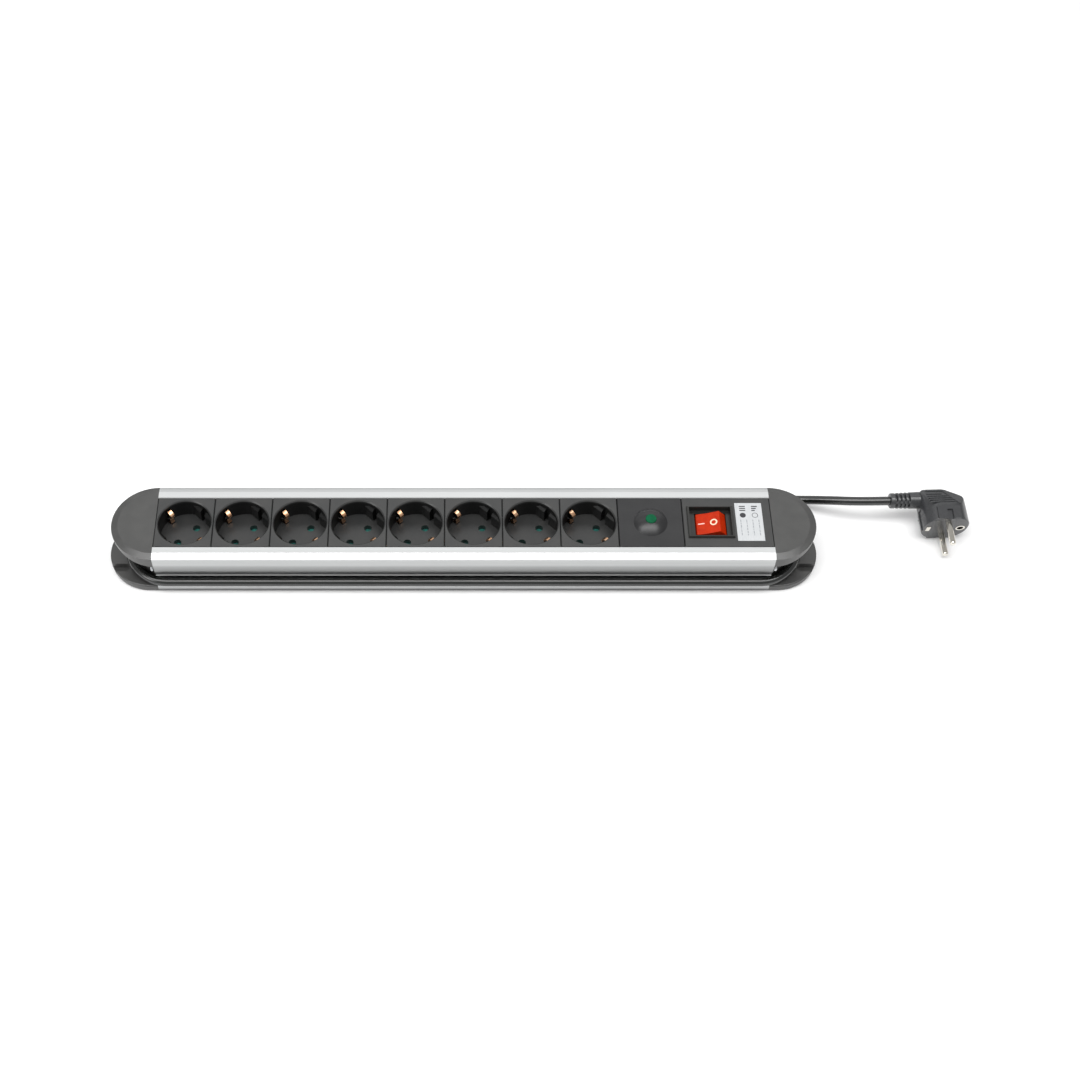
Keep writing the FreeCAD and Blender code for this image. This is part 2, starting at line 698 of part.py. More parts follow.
# ---------------------------------------------------------------- busbars
def build_pin_busbar(side):
    """Strip with a pair of upright leaves under each pin hole; side is +1 live, -1 neutral."""
    y = side * PIN_OFFSET
    half = BAR_WIDTH / 2
    pieces = [box(BAR_START, BAR_END, y - half, y + half, BAR_Z, BAR_Z + BAR_THICKNESS)]
    for i in range(SOCKET_COUNT):
        x = socket_x(i) + side * PIN_OFFSET
        for edge in (-1, 1):
            inner = y + edge * LEAF_GAP / 2
            y0, y1 = sorted((inner, inner + edge * BAR_THICKNESS))
            pieces.append(box(x - LEAF_LENGTH / 2, x + LEAF_LENGTH / 2, y0, y1, BAR_Z, LEAF_TOP))
    return fuse(pieces)


def build_live_busbar():
    return build_pin_busbar(1)


def build_neutral_busbar():
    return build_pin_busbar(-1)


def spline_edge(points):
    curve = Part.BSplineCurve()
    curve.interpolate(points)
    return curve.toShape()


def earth_clip():
    """Springy strip in the plane Y 0 that bows into the well from +X."""
    face_points = [Vector(reach, 0, z) for reach, z in CLIP_FACE]
    back_points = []
    last = len(face_points) - 1
    for i, point in enumerate(face_points):
        rise = face_points[min(i + 1, last)] - face_points[max(i - 1, 0)]
        outward = Vector(rise.z, 0, -rise.x)
        outward.normalize()
        back_points.append(point + outward * BAR_THICKNESS)
    outline = Part.Wire([
        spline_edge(face_points), line(face_points[-1], back_points[-1]),
        spline_edge(back_points[::-1]), line(back_points[0], face_points[0]),
    ])
    face = Part.Face(outline)
    face.translate(BACK * (-CLIP_WIDTH / 2))
    return face.extrude(BACK * CLIP_WIDTH)


def build_earth_busbar():
    z1 = EARTH_Z + BAR_THICKNESS
    pieces = [box(BAR_START, BAR_END, -EARTH_WIDTH / 2, EARTH_WIDTH / 2, EARTH_Z, z1)]
    arm = box(0, CLIP_REACH + BAR_THICKNESS, -CLIP_WIDTH / 2, CLIP_WIDTH / 2, EARTH_Z, z1)
    contact = fuse([arm, earth_clip()])
    for i in range(SOCKET_COUNT):
        for turn in (PIN_ANGLE + 90, PIN_ANGLE + 270):
            pieces.append(turned(contact, socket_x(i), turn))
    return fuse(pieces)


def build_busbar_carrier():
    x0 = BAR_START - CARRIER_OVERHANG
    x1 = BAR_END + CARRIER_OVERHANG - PAST
    foot = CARRIER_TOP - PAST
    pieces = [
        box(x0, x1, -CARRIER_HALF, CARRIER_HALF, CHANNEL_FLOOR + TOUCH, CARRIER_TOP),
        box(x0, x1, -CARRIER_RIB_HALF, CARRIER_RIB_HALF, foot, EARTH_Z - TOUCH / 2),
    ]
    for side in (-1, 1):
        pieces.append(side_box(x0, x1, side, CARRIER_WALL_IN, CARRIER_WALL_OUT, foot, LEAF_TOP - PAST))
    return fuse(pieces)


# ---------------------------------------------------------------- indicator and surge protection
def dome_cap(radius, height, z):
    ball_r = (radius ** 2 + height ** 2) / (2 * height)
    ball = Part.makeSphere(ball_r, Vector(INDICATOR_X, 0, z + height - ball_r))
    return ball.common(cylinder(INDICATOR_X, 0, z, z + height + PAST, radius))


def build_indicator_module():
    seat = INSERT_TOP - DOME_SINK
    solid = fuse([insert_plate(INDICATOR_X0, SWITCH_X0), dome_cap(DOME_R, DOME_H, seat)])
    inner = DOME_R - DOME_WALL
    solid = cut(solid, [
        dome_cap(inner, DOME_H - DOME_WALL + ROOT, seat),
        cylinder(INDICATOR_X, 0, INSERT_TOP - PLATE - PAST, seat + TOUCH, inner),
        cylinder(INDICATOR_X, 0, INSERT_TOP - PAST, INSERT_TOP + DOME_H + PAST, LENS_R + TOUCH / 2),
    ])
    posts = []
    for dx in (-POST_X, POST_X):
        for dy in (-POST_Y, POST_Y):
            posts.append(cylinder(INDICATOR_X + dx, dy, BOARD_TOP + TOUCH, INSERT_TOP - PLATE + ROOT, POST_R))
    return fuse([solid] + posts)


def build_indicator_lens():
    top = INSERT_TOP + DOME_H + RAIL_PLAY
    shoulder_z = top - LENS_HEIGHT
    barrel = cylinder(INDICATOR_X, 0, shoulder_z, top, LENS_R)
    barrel = barrel.makeFillet(LENS_ROUND, top_edges(barrel))
    shoulder = cylinder(INDICATOR_X, 0, shoulder_z - PAST, shoulder_z, LENS_R + LENS_SHOULDER)
    lens = fuse([barrel, shoulder])
    return lens.cut(cylinder(INDICATOR_X, 0, shoulder_z - 2 * PAST, top - LENS_ROOF, LED_R + 3 * TOUCH))


def build_surge_board():
    x0 = INDICATOR_X - BOARD_HALF_X
    x1 = INDICATOR_X + BOARD_HALF_X
    return box(x0, x1, -BOARD_HALF_Y, BOARD_HALF_Y, BOARD_Z, BOARD_TOP)


def build_indicator_led():
    body = cylinder(INDICATOR_X, 0, LED_TOP - LED_HEIGHT, LED_TOP - LED_R, LED_R)
    ball = Part.makeSphere(LED_R, Vector(INDICATOR_X, 0, LED_TOP - LED_R))
    legs = []
    for dx in (-LED_LEG_X, LED_LEG_X):
        legs.append(cylinder(INDICATOR_X + dx, 0, BOARD_TOP, LED_TOP - LED_HEIGHT + ROOT, LED_LEG_R))
    return fuse([body, ball] + legs)


def board_leg(x, y):
    return cylinder(x, y, BOARD_TOP, BOARD_TOP + LEG_HEIGHT, LEG_R)


def build_surge_varistors():
    discs = []
    for dx in VARISTOR_X:
        start = Vector(INDICATOR_X + dx, VARISTOR_Y, BOARD_TOP + VARISTOR_LIFT)
        disc = Part.makeCylinder(VARISTOR_R, VARISTOR_WIDTH, start, ALONG)
        middle = start.x + VARISTOR_WIDTH / 2
        legs = [board_leg(middle, VARISTOR_Y + side * LED_R) for side in (-1, 1)]
        discs.append(fuse([disc] + legs))
    return Part.makeCompound(discs)


def build_surge_fuse():
    start = Vector(INDICATOR_X - FUSE_LENGTH / 2, FUSE_Y, BOARD_TOP + FUSE_LIFT)
    body = Part.makeCylinder(FUSE_R, FUSE_LENGTH, start, ALONG)
    reach = FUSE_LENGTH / 2 - PAST
    return fuse([body] + [board_leg(INDICATOR_X + side * reach, FUSE_Y) for side in (-1, 1)])


# ---------------------------------------------------------------- switch
def build_switch_module():
    x0 = BEZEL_X0 + BEZEL_LIP - TOUCH
    x1 = BEZEL_X1 - BEZEL_LIP + TOUCH
    half = HOUSING_HALF + TOUCH
    return insert_plate(SWITCH_X0, JOINT_X).cut(box(x0, x1, -half, half, RAIL_BOTTOM, TOP_Z + PAST))


def blade_places():
    return [(step * BLADE_SPACING_X, side * BLADE_Y) for step in (-1, 0, 1) for side in (-1, 1)]


def blade_box(dx, dy, gap, z0, z1):
    x = PIVOT_X + dx
    wide = BLADE_HALF_X + gap
    deep = BLADE_HALF_Y + gap
    return box(x - wide, x + wide, dy - deep, dy + deep, z0, z1)


def build_switch_housing():
    x0 = BEZEL_X0 + BEZEL_LIP
    x1 = BEZEL_X1 - BEZEL_LIP
    frame = box(BEZEL_X0, BEZEL_X1, -BEZEL_HALF, BEZEL_HALF, INSERT_TOP, BEZEL_TOP)
    frame = frame.makeChamfer(BEZEL_CHAMFER, top_edges(frame))
    body = fuse([frame, box(x0, x1, -HOUSING_HALF, HOUSING_HALF, SWITCH_BOTTOM, INSERT_TOP)])
    inner0 = BEZEL_X0 + BEZEL_WALL
    inner1 = BEZEL_X1 - BEZEL_WALL
    recess = box(inner0, inner1, -RECESS_HALF, RECESS_HALF, RECESS_FLOOR, BEZEL_TOP + PAST)
    gap0 = PIVOT_X - ROCKER_OPENING
    gap1 = PIVOT_X + ROCKER_OPENING
    half = ROCKER_HALF + ROCKER_PLAY
    plate_z = RECESS_FLOOR - RECESS_PLATE
    opening = box(gap0, gap1, -half, half, plate_z - PAST, RECESS_FLOOR + PAST)
    room0 = PIVOT_X - ROOM_HALF_X
    room1 = PIVOT_X + ROOM_HALF_X
    room = box(room0, room1, -ROOM_HALF_Y, ROOM_HALF_Y, SWITCH_FLOOR, plate_z)
    bore_start = Vector(PIVOT_X, -AXLE_END - TOUCH, PIVOT_Z)
    axle = Part.makeCylinder(AXLE_BORE_R, 2 * (AXLE_END + TOUCH), bore_start, BACK)
    slots = []
    for dx, dy in blade_places():
        slots.append(blade_box(dx, dy, TOUCH / 3, SWITCH_BOTTOM - PAST, SWITCH_FLOOR + PAST))
    return cut(body, [recess, opening, room, axle] + slots)


def build_switch_terminals():
    top = SWITCH_FLOOR + BLADE_STAND
    return Part.makeCompound([blade_box(dx, dy, 0, BLADE_BOTTOM, top) for dx, dy in blade_places()])


def rocker_outline(inset):
    """Outline about the axle, starting with the dished top's arc."""
    end_x = ROCKER_END_X - inset
    right = [
        (ROCKER_TOP_X - inset, ROCKER_TOP_Z - inset), (end_x, ROCKER_END_Z),
        (end_x, ROCKER_SKIRT_Z), (ROCKER_BOTTOM_X - inset, ROCKER_BOTTOM_Z),
    ]
    left = [(-x, z) for x, z in right[::-1]]
    return left[-1:] + [(0, ROCKER_DISH_Z - inset)] + right + left[:-1]


def on_rocker(shape):
    shape.rotate(ORIGIN, BACK, -ROCKER_TILT)
    shape.translate(Vector(PIVOT_X, 0, PIVOT_Z))
    return shape


def build_switch_rocker():
    """Cap with an open underside, built level about its axle and then turned to its rest tilt."""
    outer = prism_y(rocker_outline(0), -ROCKER_HALF, ROCKER_HALF, (0,))
    crest = [edge for edge in outer.Edges if edge.BoundBox.ZMax > ROCKER_TOP_Z - TOUCH]
    outer = outer.makeFillet(ROCKER_ROUND, crest)
    half = ROCKER_HALF - ROCKER_WALL
    inner = prism_y(rocker_outline(ROCKER_WALL), -half, half, (0,))
    mouth = ROCKER_BOTTOM_X - ROCKER_WALL
    cap = cut(outer, [inner, box(-mouth, mouth, -half, half, ROCKER_BOTTOM_Z - PAST, 0)])
    guide = cylinder(0, 0, -LEG_HEIGHT, ROCKER_DISH_Z - ROOT, GUIDE_TUBE_R)
    guide = guide.cut(cylinder(0, 0, -LEG_HEIGHT - PAST, GUIDE_TUBE_ROOF, GUIDE_TUBE_BORE))
    axles = []
    for side in (-1, 1):
        start = Vector(0, side * AXLE_START, 0)
        axles.append(Part.makeCylinder(AXLE_R, AXLE_END - AXLE_START, start, BACK * side))
    return on_rocker(fuse([cap, guide] + axles))


def build_switch_plunger():
    body = cylinder(0, 0, PLUNGER_TIP_Z, PLUNGER_TOP_Z, PLUNGER_R)
    return on_rocker(body.fuse(Part.makeSphere(PLUNGER_R, Vector(0, 0, PLUNGER_TIP_Z))))


def build_switch_spring():
    coil = Part.makeHelix(COIL_PITCH, COIL_HEIGHT, COIL_R)
    section = Part.Wire([Part.Circle(ALONG * COIL_R, BACK, COIL_WIRE_R).toShape()])
    spring = Part.Wire(coil.Edges).makePipeShell([section], True, True)
    spring.translate(UP * (PLUNGER_TOP_Z + COIL_WIRE_R))
    return on_rocker(spring)


def build_switch_contact_bridge():
    half = BRIDGE_THICKNESS / 2
    pieces = [box(-YOKE_X, YOKE_X, -YOKE_Y, YOKE_Y, -half, half)]
    for side in (-1, 1):
        near = BLADE_Y - BRIDGE_BAR_HALF
        far = BLADE_Y + BRIDGE_BAR_HALF
        pieces.append(side_box(-BRIDGE_HALF, BRIDGE_HALF, side, near, far, -half, half))
    pieces.append(Part.makeCylinder(KEEL_R, 2 * KEEL_HALF, BACK * -KEEL_HALF, BACK))
    solid = fuse(pieces)
    solid.rotate(ORIGIN, BACK, ROCKER_TILT / 4)
    solid.translate(Vector(PIVOT_X, 0, BRIDGE_Z))
    return solid


def build_rating_label():
    z0 = INSERT_TOP + TOUCH / 10
    return box(LABEL_X0, LABEL_X1, LABEL_Y0, LABEL_Y1, z0, z0 + LABEL_THICKNESS)


# ---------------------------------------------------------------- cord entry and inner wires
def build_cord_inlet():
    """Block in the back wall's slot; the cord turns inside it from along the strip to across it."""
    z0 = FLANGE_Z + 3 * TOUCH
    z1 = LIP_Z - 3 * TOUCH
    block = box(INLET_X0 + TOUCH, INLET_X1, INLET_DEPTH, WAIST_HALF + INLET_OUT, z0, z1)
    turn = Vector(CLAMP_X, INLET_Y, INLET_Z)
    radius = CORD_R + TOUCH
    along = Part.makeCylinder(radius, INLET_X1, turn - ALONG * radius, ALONG)
    across = Part.makeCylinder(radius, INLET_DEPTH, turn, -BACK)
    return cut(block, [along, across])


def build_cord_strain_relief():
    length = SLEEVE_END - INLET_X1
    start = Vector(INLET_X1, INLET_Y, INLET_Z)
    cone = Part.makeCone(SLEEVE_R0, SLEEVE_R1, length, start, ALONG)
    return cone.cut(Part.makeCylinder(CORD_R + TOUCH / 2, length + 2 * PAST, start - ALONG * PAST, ALONG))


def build_cord_clamp():
    pieces = [box(CLAMP_X - CLAMP_HALF, CLAMP_X + CLAMP_HALF, CLAMP_Y0, CLAMP_Y1, CLAMP_UNDER, CLAMP_TOP)]
    screw_y = (CLAMP_Y0 + CLAMP_Y1) / 2
    cuts = [Part.makeCylinder(CORD_R, CLAMP_Y1 + PAST, Vector(CLAMP_X, 0, INLET_Z), BACK)]
    for side in (-1, 1):
        x = CLAMP_X + side * CLAMP_SCREW_X
        x0 = x - CLAMP_FOOT_HALF
        x1 = x + CLAMP_FOOT_HALF
        pieces.append(box(x0, x1, CLAMP_Y0, CLAMP_Y1, CHANNEL_FLOOR + TOUCH, CLAMP_UNDER + ROOT))
        cuts.append(cylinder(x, screw_y, 0, CLAMP_TOP + PAST, CLAMP_SCREW_R + TOUCH / 2))
    return cut(fuse(pieces), cuts)


def build_cord_clamp_screws():
    screws = []
    y = (CLAMP_Y0 + CLAMP_Y1) / 2
    seat = CLAMP_TOP + TOUCH / 2
    for side in (-1, 1):
        x = CLAMP_X + side * CLAMP_SCREW_X
        shank = cylinder(x, y, CHANNEL_FLOOR + 2 * TOUCH, seat + TOUCH, CLAMP_SCREW_R)
        head = cylinder(x, y, seat, seat + CLAMP_HEAD_H, CLAMP_HEAD_R)
        wide = CLAMP_HEAD_R + PAST
        slot_z = seat + CLAMP_HEAD_H / 2
        slot = box(x - wide, x + wide, y - BLADE_HALF_X, y + BLADE_HALF_X, slot_z, slot_z + CLAMP_HEAD_H)
        screws.append(fuse([shank, head]).cut(slot))
    return Part.makeCompound(screws)


def wire_group(routes):
    return Part.makeCompound([tube([Vector(*point) for point in route], WIRE_R)[0] for route in routes])


def busbar_wire(side):
    """From a busbar's end along the floor to just under the switch."""
    y = side * PIN_OFFSET
    return [
        (BAR_END + 3, y, 7.6), (142, y, 7.4), (160, side * 7.4, 6.0),
        (174, side * 11, 6.6), (184, side * 11, 8),
    ]


def build_live_wires():
    lead_in = [(CLAMP_X + 1.6, 9, 11.2), (CLAMP_X + 4, 5, 10.2), (173, 6, 10.4), (BLADE_X, BLADE_Y, 10.6)]
    return wire_group([lead_in, busbar_wire(1)])


def build_neutral_wires():
    lead_in = [(CLAMP_X - 1.6, 9, 11.2), (CLAMP_X, -1, 12.6), (172, -6, 11.4), (BLADE_X, -BLADE_Y, 10.6)]
    return wire_group([lead_in, busbar_wire(-1)])


def build_earth_wire():
    route = [
        (BAR_END + 3, 0, EARTH_Z + 0.4), (136, 0, EARTH_Z + 1), (146, 3, EARTH_Z), (CLAMP_X, 9, 14.4),
    ]
    return wire_group([route])


# ---------------------------------------------------------------- plug
def flank_half(z):
    """Half thickness of the plug at a depth behind its face."""
    narrowing = (PLUG_FLAT - PLUG_BACK_HALF) / (FLANK_Z - PLUG_BACK)
    return PLUG_FLAT - max(0.0, FLANK_Z - z) * narrowing


def plug_ribs():
    """Grip ribs on both flanks, running along the cable's axis."""
    ribs = []
    for i in range(RIB_COUNT):
        z = RIB_FIRST_Z - RIB_PITCH * i
        y = flank_half(z)
        x1 = RIB_X1 - max(0.0, BOOT_START_X - z)
        for side in (-1, 1):
            near = y - 4 * RIB_HALF
            ribs.append(side_box(RIB_X0, x1, side, near, y + RIB_RISE, z - RIB_HALF, z + RIB_HALF))
    return ribs


def earth_strip(gap):
    """Contact strip on the cord's side of the plug, sunk in the body and folded over onto the face."""
    half = STRIP_HALF + gap
    x0 = STRIP_X0 - gap
    top = STRIP_THICKNESS / 2
    upright = box(x0, STRIP_X0 + STRIP_THICKNESS + gap, -half, half, STRIP_BACK - gap, top)
    folded = box(x0, STRIP_X1 + gap, -half, half, -top - gap, top)
    return fuse([upright, folded])


def build_plug_body():
    thickness = [
        (-PLUG_FLAT, 0), (PLUG_FLAT, 0), (PLUG_FLAT, FLANK_Z), (PLUG_BACK_HALF, PLUG_BACK),
        (-PLUG_BACK_HALF, PLUG_BACK), (-PLUG_FLAT, FLANK_Z),
    ]
    body = prism_y(PLUG_SIDE, -PLUG_R, PLUG_R).common(prism_x(thickness, -PLUG_R, PLUG_R))
    body = body.common(cylinder(0, 0, PLUG_BACK, 0, PLUG_R))
    body = fuse([body] + plug_ribs())
    earth_hole = cylinder(EARTH_HOLE_X, 0, -EARTH_HOLE_DEPTH, PAST, EARTH_HOLE_RIM + TOUCH / 5)
    recess = box(-PLUG_R - PAST, RECESS_X, -STRIP_HALF, STRIP_HALF, RECESS_BACK, PAST)
    cuts = [earth_hole, earth_strip(TOUCH / 4), recess]
    for side in (-1, 1):
        half = GUIDE_SLOT / 2
        cuts.append(side_box(-half, half, side, PLUG_FLAT - SLOT_FLOOR, PLUG_R + PAST, SLOT_BACK, PAST))
        cuts.append(cylinder(0, side * PIN_SPACING / 2, -12, PAST, PIN_R + TOUCH / 5))
    root = Vector(BOOT_START_X - BOOT_ROOT, 0, BOOT_AXIS_Z)
    cuts.append(Part.makeCylinder(BOOT_R0 + TOUCH / 5, PLUG_R, root, -ALONG))
    cuts.append(Part.makeCylinder(BOOT_R0 - BOOT_CORE + TOUCH / 2, BOOT_TENON, root - ALONG, ALONG))
    return on_plug(cut(body, cuts))


def build_plug_boot():
    """Tapered sleeve with four rows of slots round it and a tenon into the plug."""
    length = BOOT_START_X - BOOT_ROOT - TOUCH / 2 - BOOT_END_X
    start = Vector(BOOT_END_X, 0, BOOT_AXIS_Z)
    boot = Part.makeCone(BOOT_R1, BOOT_R0, length, start, ALONG)
    tenon = Part.makeCylinder(BOOT_R0 - BOOT_CORE, BOOT_TENON - PAST, start + ALONG * (length - ROOT), ALONG)
    slots = []
    for i in range(BOOT_SLOTS):
        x = BOOT_END_X + BOOT_SLOT_FIRST + BOOT_SLOT_PITCH * i
        x0 = x - BOOT_SLOT_HALF
        x1 = x + BOOT_SLOT_HALF
        for turn in range(4):
            slot = box(x0, x1, -BOOT_SLOT_DEPTH, BOOT_SLOT_DEPTH, BOOT_SLOT_DEPTH, BOOT_R0 + PAST)
            slot.rotate(ORIGIN, ALONG, 90 * turn)
            slot.translate(UP * BOOT_AXIS_Z)
            slots.append(slot)
    return on_plug(cut(boot.fuse(tenon), slots))


def build_plug_pins():
    pins = []
    for side in (-1, 1):
        shaft = cylinder(0, side * PIN_SPACING / 2, -11.5, PIN_LENGTH, PIN_R)
        pins.append(shaft.makeFillet(PIN_TIP, top_edges(shaft)))
    return on_plug(Part.makeCompound(pins))


def build_plug_earth_strip():
    return on_plug(earth_strip(0))


def build_plug_earth_sleeve():
    sleeve = cylinder(EARTH_HOLE_X, 0, PAST - EARTH_HOLE_DEPTH, TOUCH, EARTH_HOLE_RIM)
    return on_plug(sleeve.cut(cylinder(EARTH_HOLE_X, 0, 2 * PAST - EARTH_HOLE_DEPTH, PAST, EARTH_HOLE_R)))


# ---------------------------------------------------------------- cord route
def plug_point(x, y, z):
    return plug_placement().multVec(Vector(x, y, z))


def cord_route():
    """Once round the strip in its side grooves, then off to the plug along the surface behind it."""
    right = JOINT_X
    return [
        Vector(SLEEVE_END, INLET_Y, INLET_Z),
        Vector(212, 31.0, 11.0),
        Vector(right + LOOP_CORNER_X, CORD_Y, CORD_Z),
        Vector(right + LOOP_REACH, LOOP_CORNER_Y, CORD_Z),
        Vector(right + LOOP_REACH, -LOOP_CORNER_Y, CORD_Z),
        Vector(right + LOOP_CORNER_X, -CORD_Y, CORD_Z),
        Vector(-right - LOOP_CORNER_X, -CORD_Y, CORD_Z),
        Vector(-right - LOOP_REACH, -LOOP_CORNER_Y, CORD_Z),
        Vector(-right - LOOP_REACH, LOOP_CORNER_Y, CORD_Z),
        Vector(-right - LOOP_CORNER_X, CORD_Y, CORD_Z),
        Vector(96, 32.5, 10.6),
        Vector(126, 37.5, 10.9),
        Vector(156, 45.0, 7.6),
        Vector(188, 50.0, 3.9),
        Vector(216, 51.4, 3.6),
        Vector(242, 51.4, 3.9),
        Vector(264, 48.8, 7.0),
        Vector(287, 41.0, 17.0),
        plug_point(BOOT_END_X - 24, 0, BOOT_AXIS_Z),
        plug_point(BOOT_END_X, 0, BOOT_AXIS_Z),
    ]


def build_power_cord():
    shape, length, radii = tube(cord_route(), CORD_R)
    ratio = shape.Volume / (math.pi * CORD_R ** 2 * length)
    print("free cord: %.1f mm long, volume over section times length %.4f" % (length, ratio))
    print("its radii:", ", ".join("%.1f" % radius for radius in radii))
    return shape


# ---------------------------------------------------------------- write every node
BUILDERS = [
    build_housing_profile, build_right_end_cap, build_left_end_cap, build_end_cap_screws,
    build_shutter_springs, build_live_busbar, build_neutral_busbar, build_earth_busbar,
    build_busbar_carrier, build_indicator_module, build_indicator_lens, build_indicator_led,
    build_surge_board, build_surge_varistors, build_surge_fuse, build_switch_module,
    build_switch_housing, build_switch_terminals, build_switch_rocker, build_switch_plunger,
    build_switch_spring, build_switch_contact_bridge, build_rating_label, build_cord_inlet,
    build_cord_strain_relief, build_cord_clamp, build_cord_clamp_screws, build_live_wires,
    build_neutral_wires, build_earth_wire, build_power_cord, build_plug_body, build_plug_boot,
    build_plug_pins, build_plug_earth_strip, build_plug_earth_sleeve,
]

for build in BUILDERS:
    write(build.__name__[len("build_"):], build())
for i in range(SOCKET_COUNT):
    write("socket_%d" % (i + 1), build_socket(socket_x(i)))
    write("socket_%d_shutter" % (i + 1), build_shutter(socket_x(i)))
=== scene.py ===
import math

import bmesh
import bpy
from mathutils import Matrix, Vector


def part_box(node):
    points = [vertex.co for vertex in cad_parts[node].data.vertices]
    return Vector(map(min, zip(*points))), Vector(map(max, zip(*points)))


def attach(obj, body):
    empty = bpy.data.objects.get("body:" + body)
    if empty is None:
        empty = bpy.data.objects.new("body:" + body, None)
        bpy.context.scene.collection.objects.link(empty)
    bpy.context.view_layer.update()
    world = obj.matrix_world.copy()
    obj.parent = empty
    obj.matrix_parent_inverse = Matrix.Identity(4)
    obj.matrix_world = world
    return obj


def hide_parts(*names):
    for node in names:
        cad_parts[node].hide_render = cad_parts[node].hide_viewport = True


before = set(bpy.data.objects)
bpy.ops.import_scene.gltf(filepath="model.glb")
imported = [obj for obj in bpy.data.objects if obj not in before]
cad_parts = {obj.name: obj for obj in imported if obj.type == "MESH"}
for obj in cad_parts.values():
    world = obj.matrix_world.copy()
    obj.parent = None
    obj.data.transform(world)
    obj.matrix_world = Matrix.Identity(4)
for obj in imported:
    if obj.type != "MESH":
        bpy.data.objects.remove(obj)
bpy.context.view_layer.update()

MM = 0.001

# ---------------------------------------------------------------- the part's own sizes, metres
JOINT_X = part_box("housing_profile")[1].x        # where the profile ends and a cap begins
CORD_DIAMETER = 7.0 * MM
GROOVE_Y = 32.0 * MM                            # the cord's centre line in the side grooves
GROOVE_Z = 10.4 * MM
LOOP_REACH = 23.5 * MM                          # how far a loop goes past the joint
LOOP_CORNER_X = 4.75 * MM
LOOP_CORNER_Y = 13.25 * MM
STRAIGHT_START = 26.5 * MM                      # from a loop's corner to the straight run

ROCKER_PIVOT = Vector((188.2, 0.0, 35.6)) * MM
ROCKER_TILT = math.radians(16.0)
DISH_Z = 7.8 * MM                               # the dished top's middle, above the axle
DISH_R = 80.35 * MM
LABEL_LOW, LABEL_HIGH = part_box("rating_label")

PLUG_FACE = Vector((374.4, 13.4, 17.6)) * MM
PLUG_TIP_DOWN = math.radians(9.3)
PLUG_TURN = math.radians(3.6)
PLUG_LEAN = math.radians(2.7)
PLUG_R = 18.6 * MM
PLUG_BACK = -31.8 * MM
PLUG_FLAT = 17.3 * MM                           # the raised panel on each flank
PLUG_FLANK = 16.9 * MM                          # the flank round the panel
PLUG_BACK_HALF = 6.0 * MM
FLANK_Z = -13.9 * MM                            # behind this the flanks draw in
EARTH_HOLE_X = 12.0 * MM
EARTH_HOLE_R = 3.7 * MM
BOOT_AXIS_Z = -25.0 * MM                        # the plug's sleeve: its axis, ends and radii
BOOT_END_X = -40.0 * MM
BOOT_START_X = -16.4 * MM
BOOT_R0 = 6.7 * MM
BOOT_R1 = 6.0 * MM
BOOT_LEAD = 24 * MM                             # how far the cord runs straight before it
RECESS_X = -16.9 * MM                           # the recess in the rim under the earth strip
RECESS_HALF = 3.2 * MM


# ---------------------------------------------------------------- finishes
EVEN = (1, 1, 1)                                # no stretch along any axis
CLOUD = 14 * MM                                 # size of the broad clouding on moulded plastic


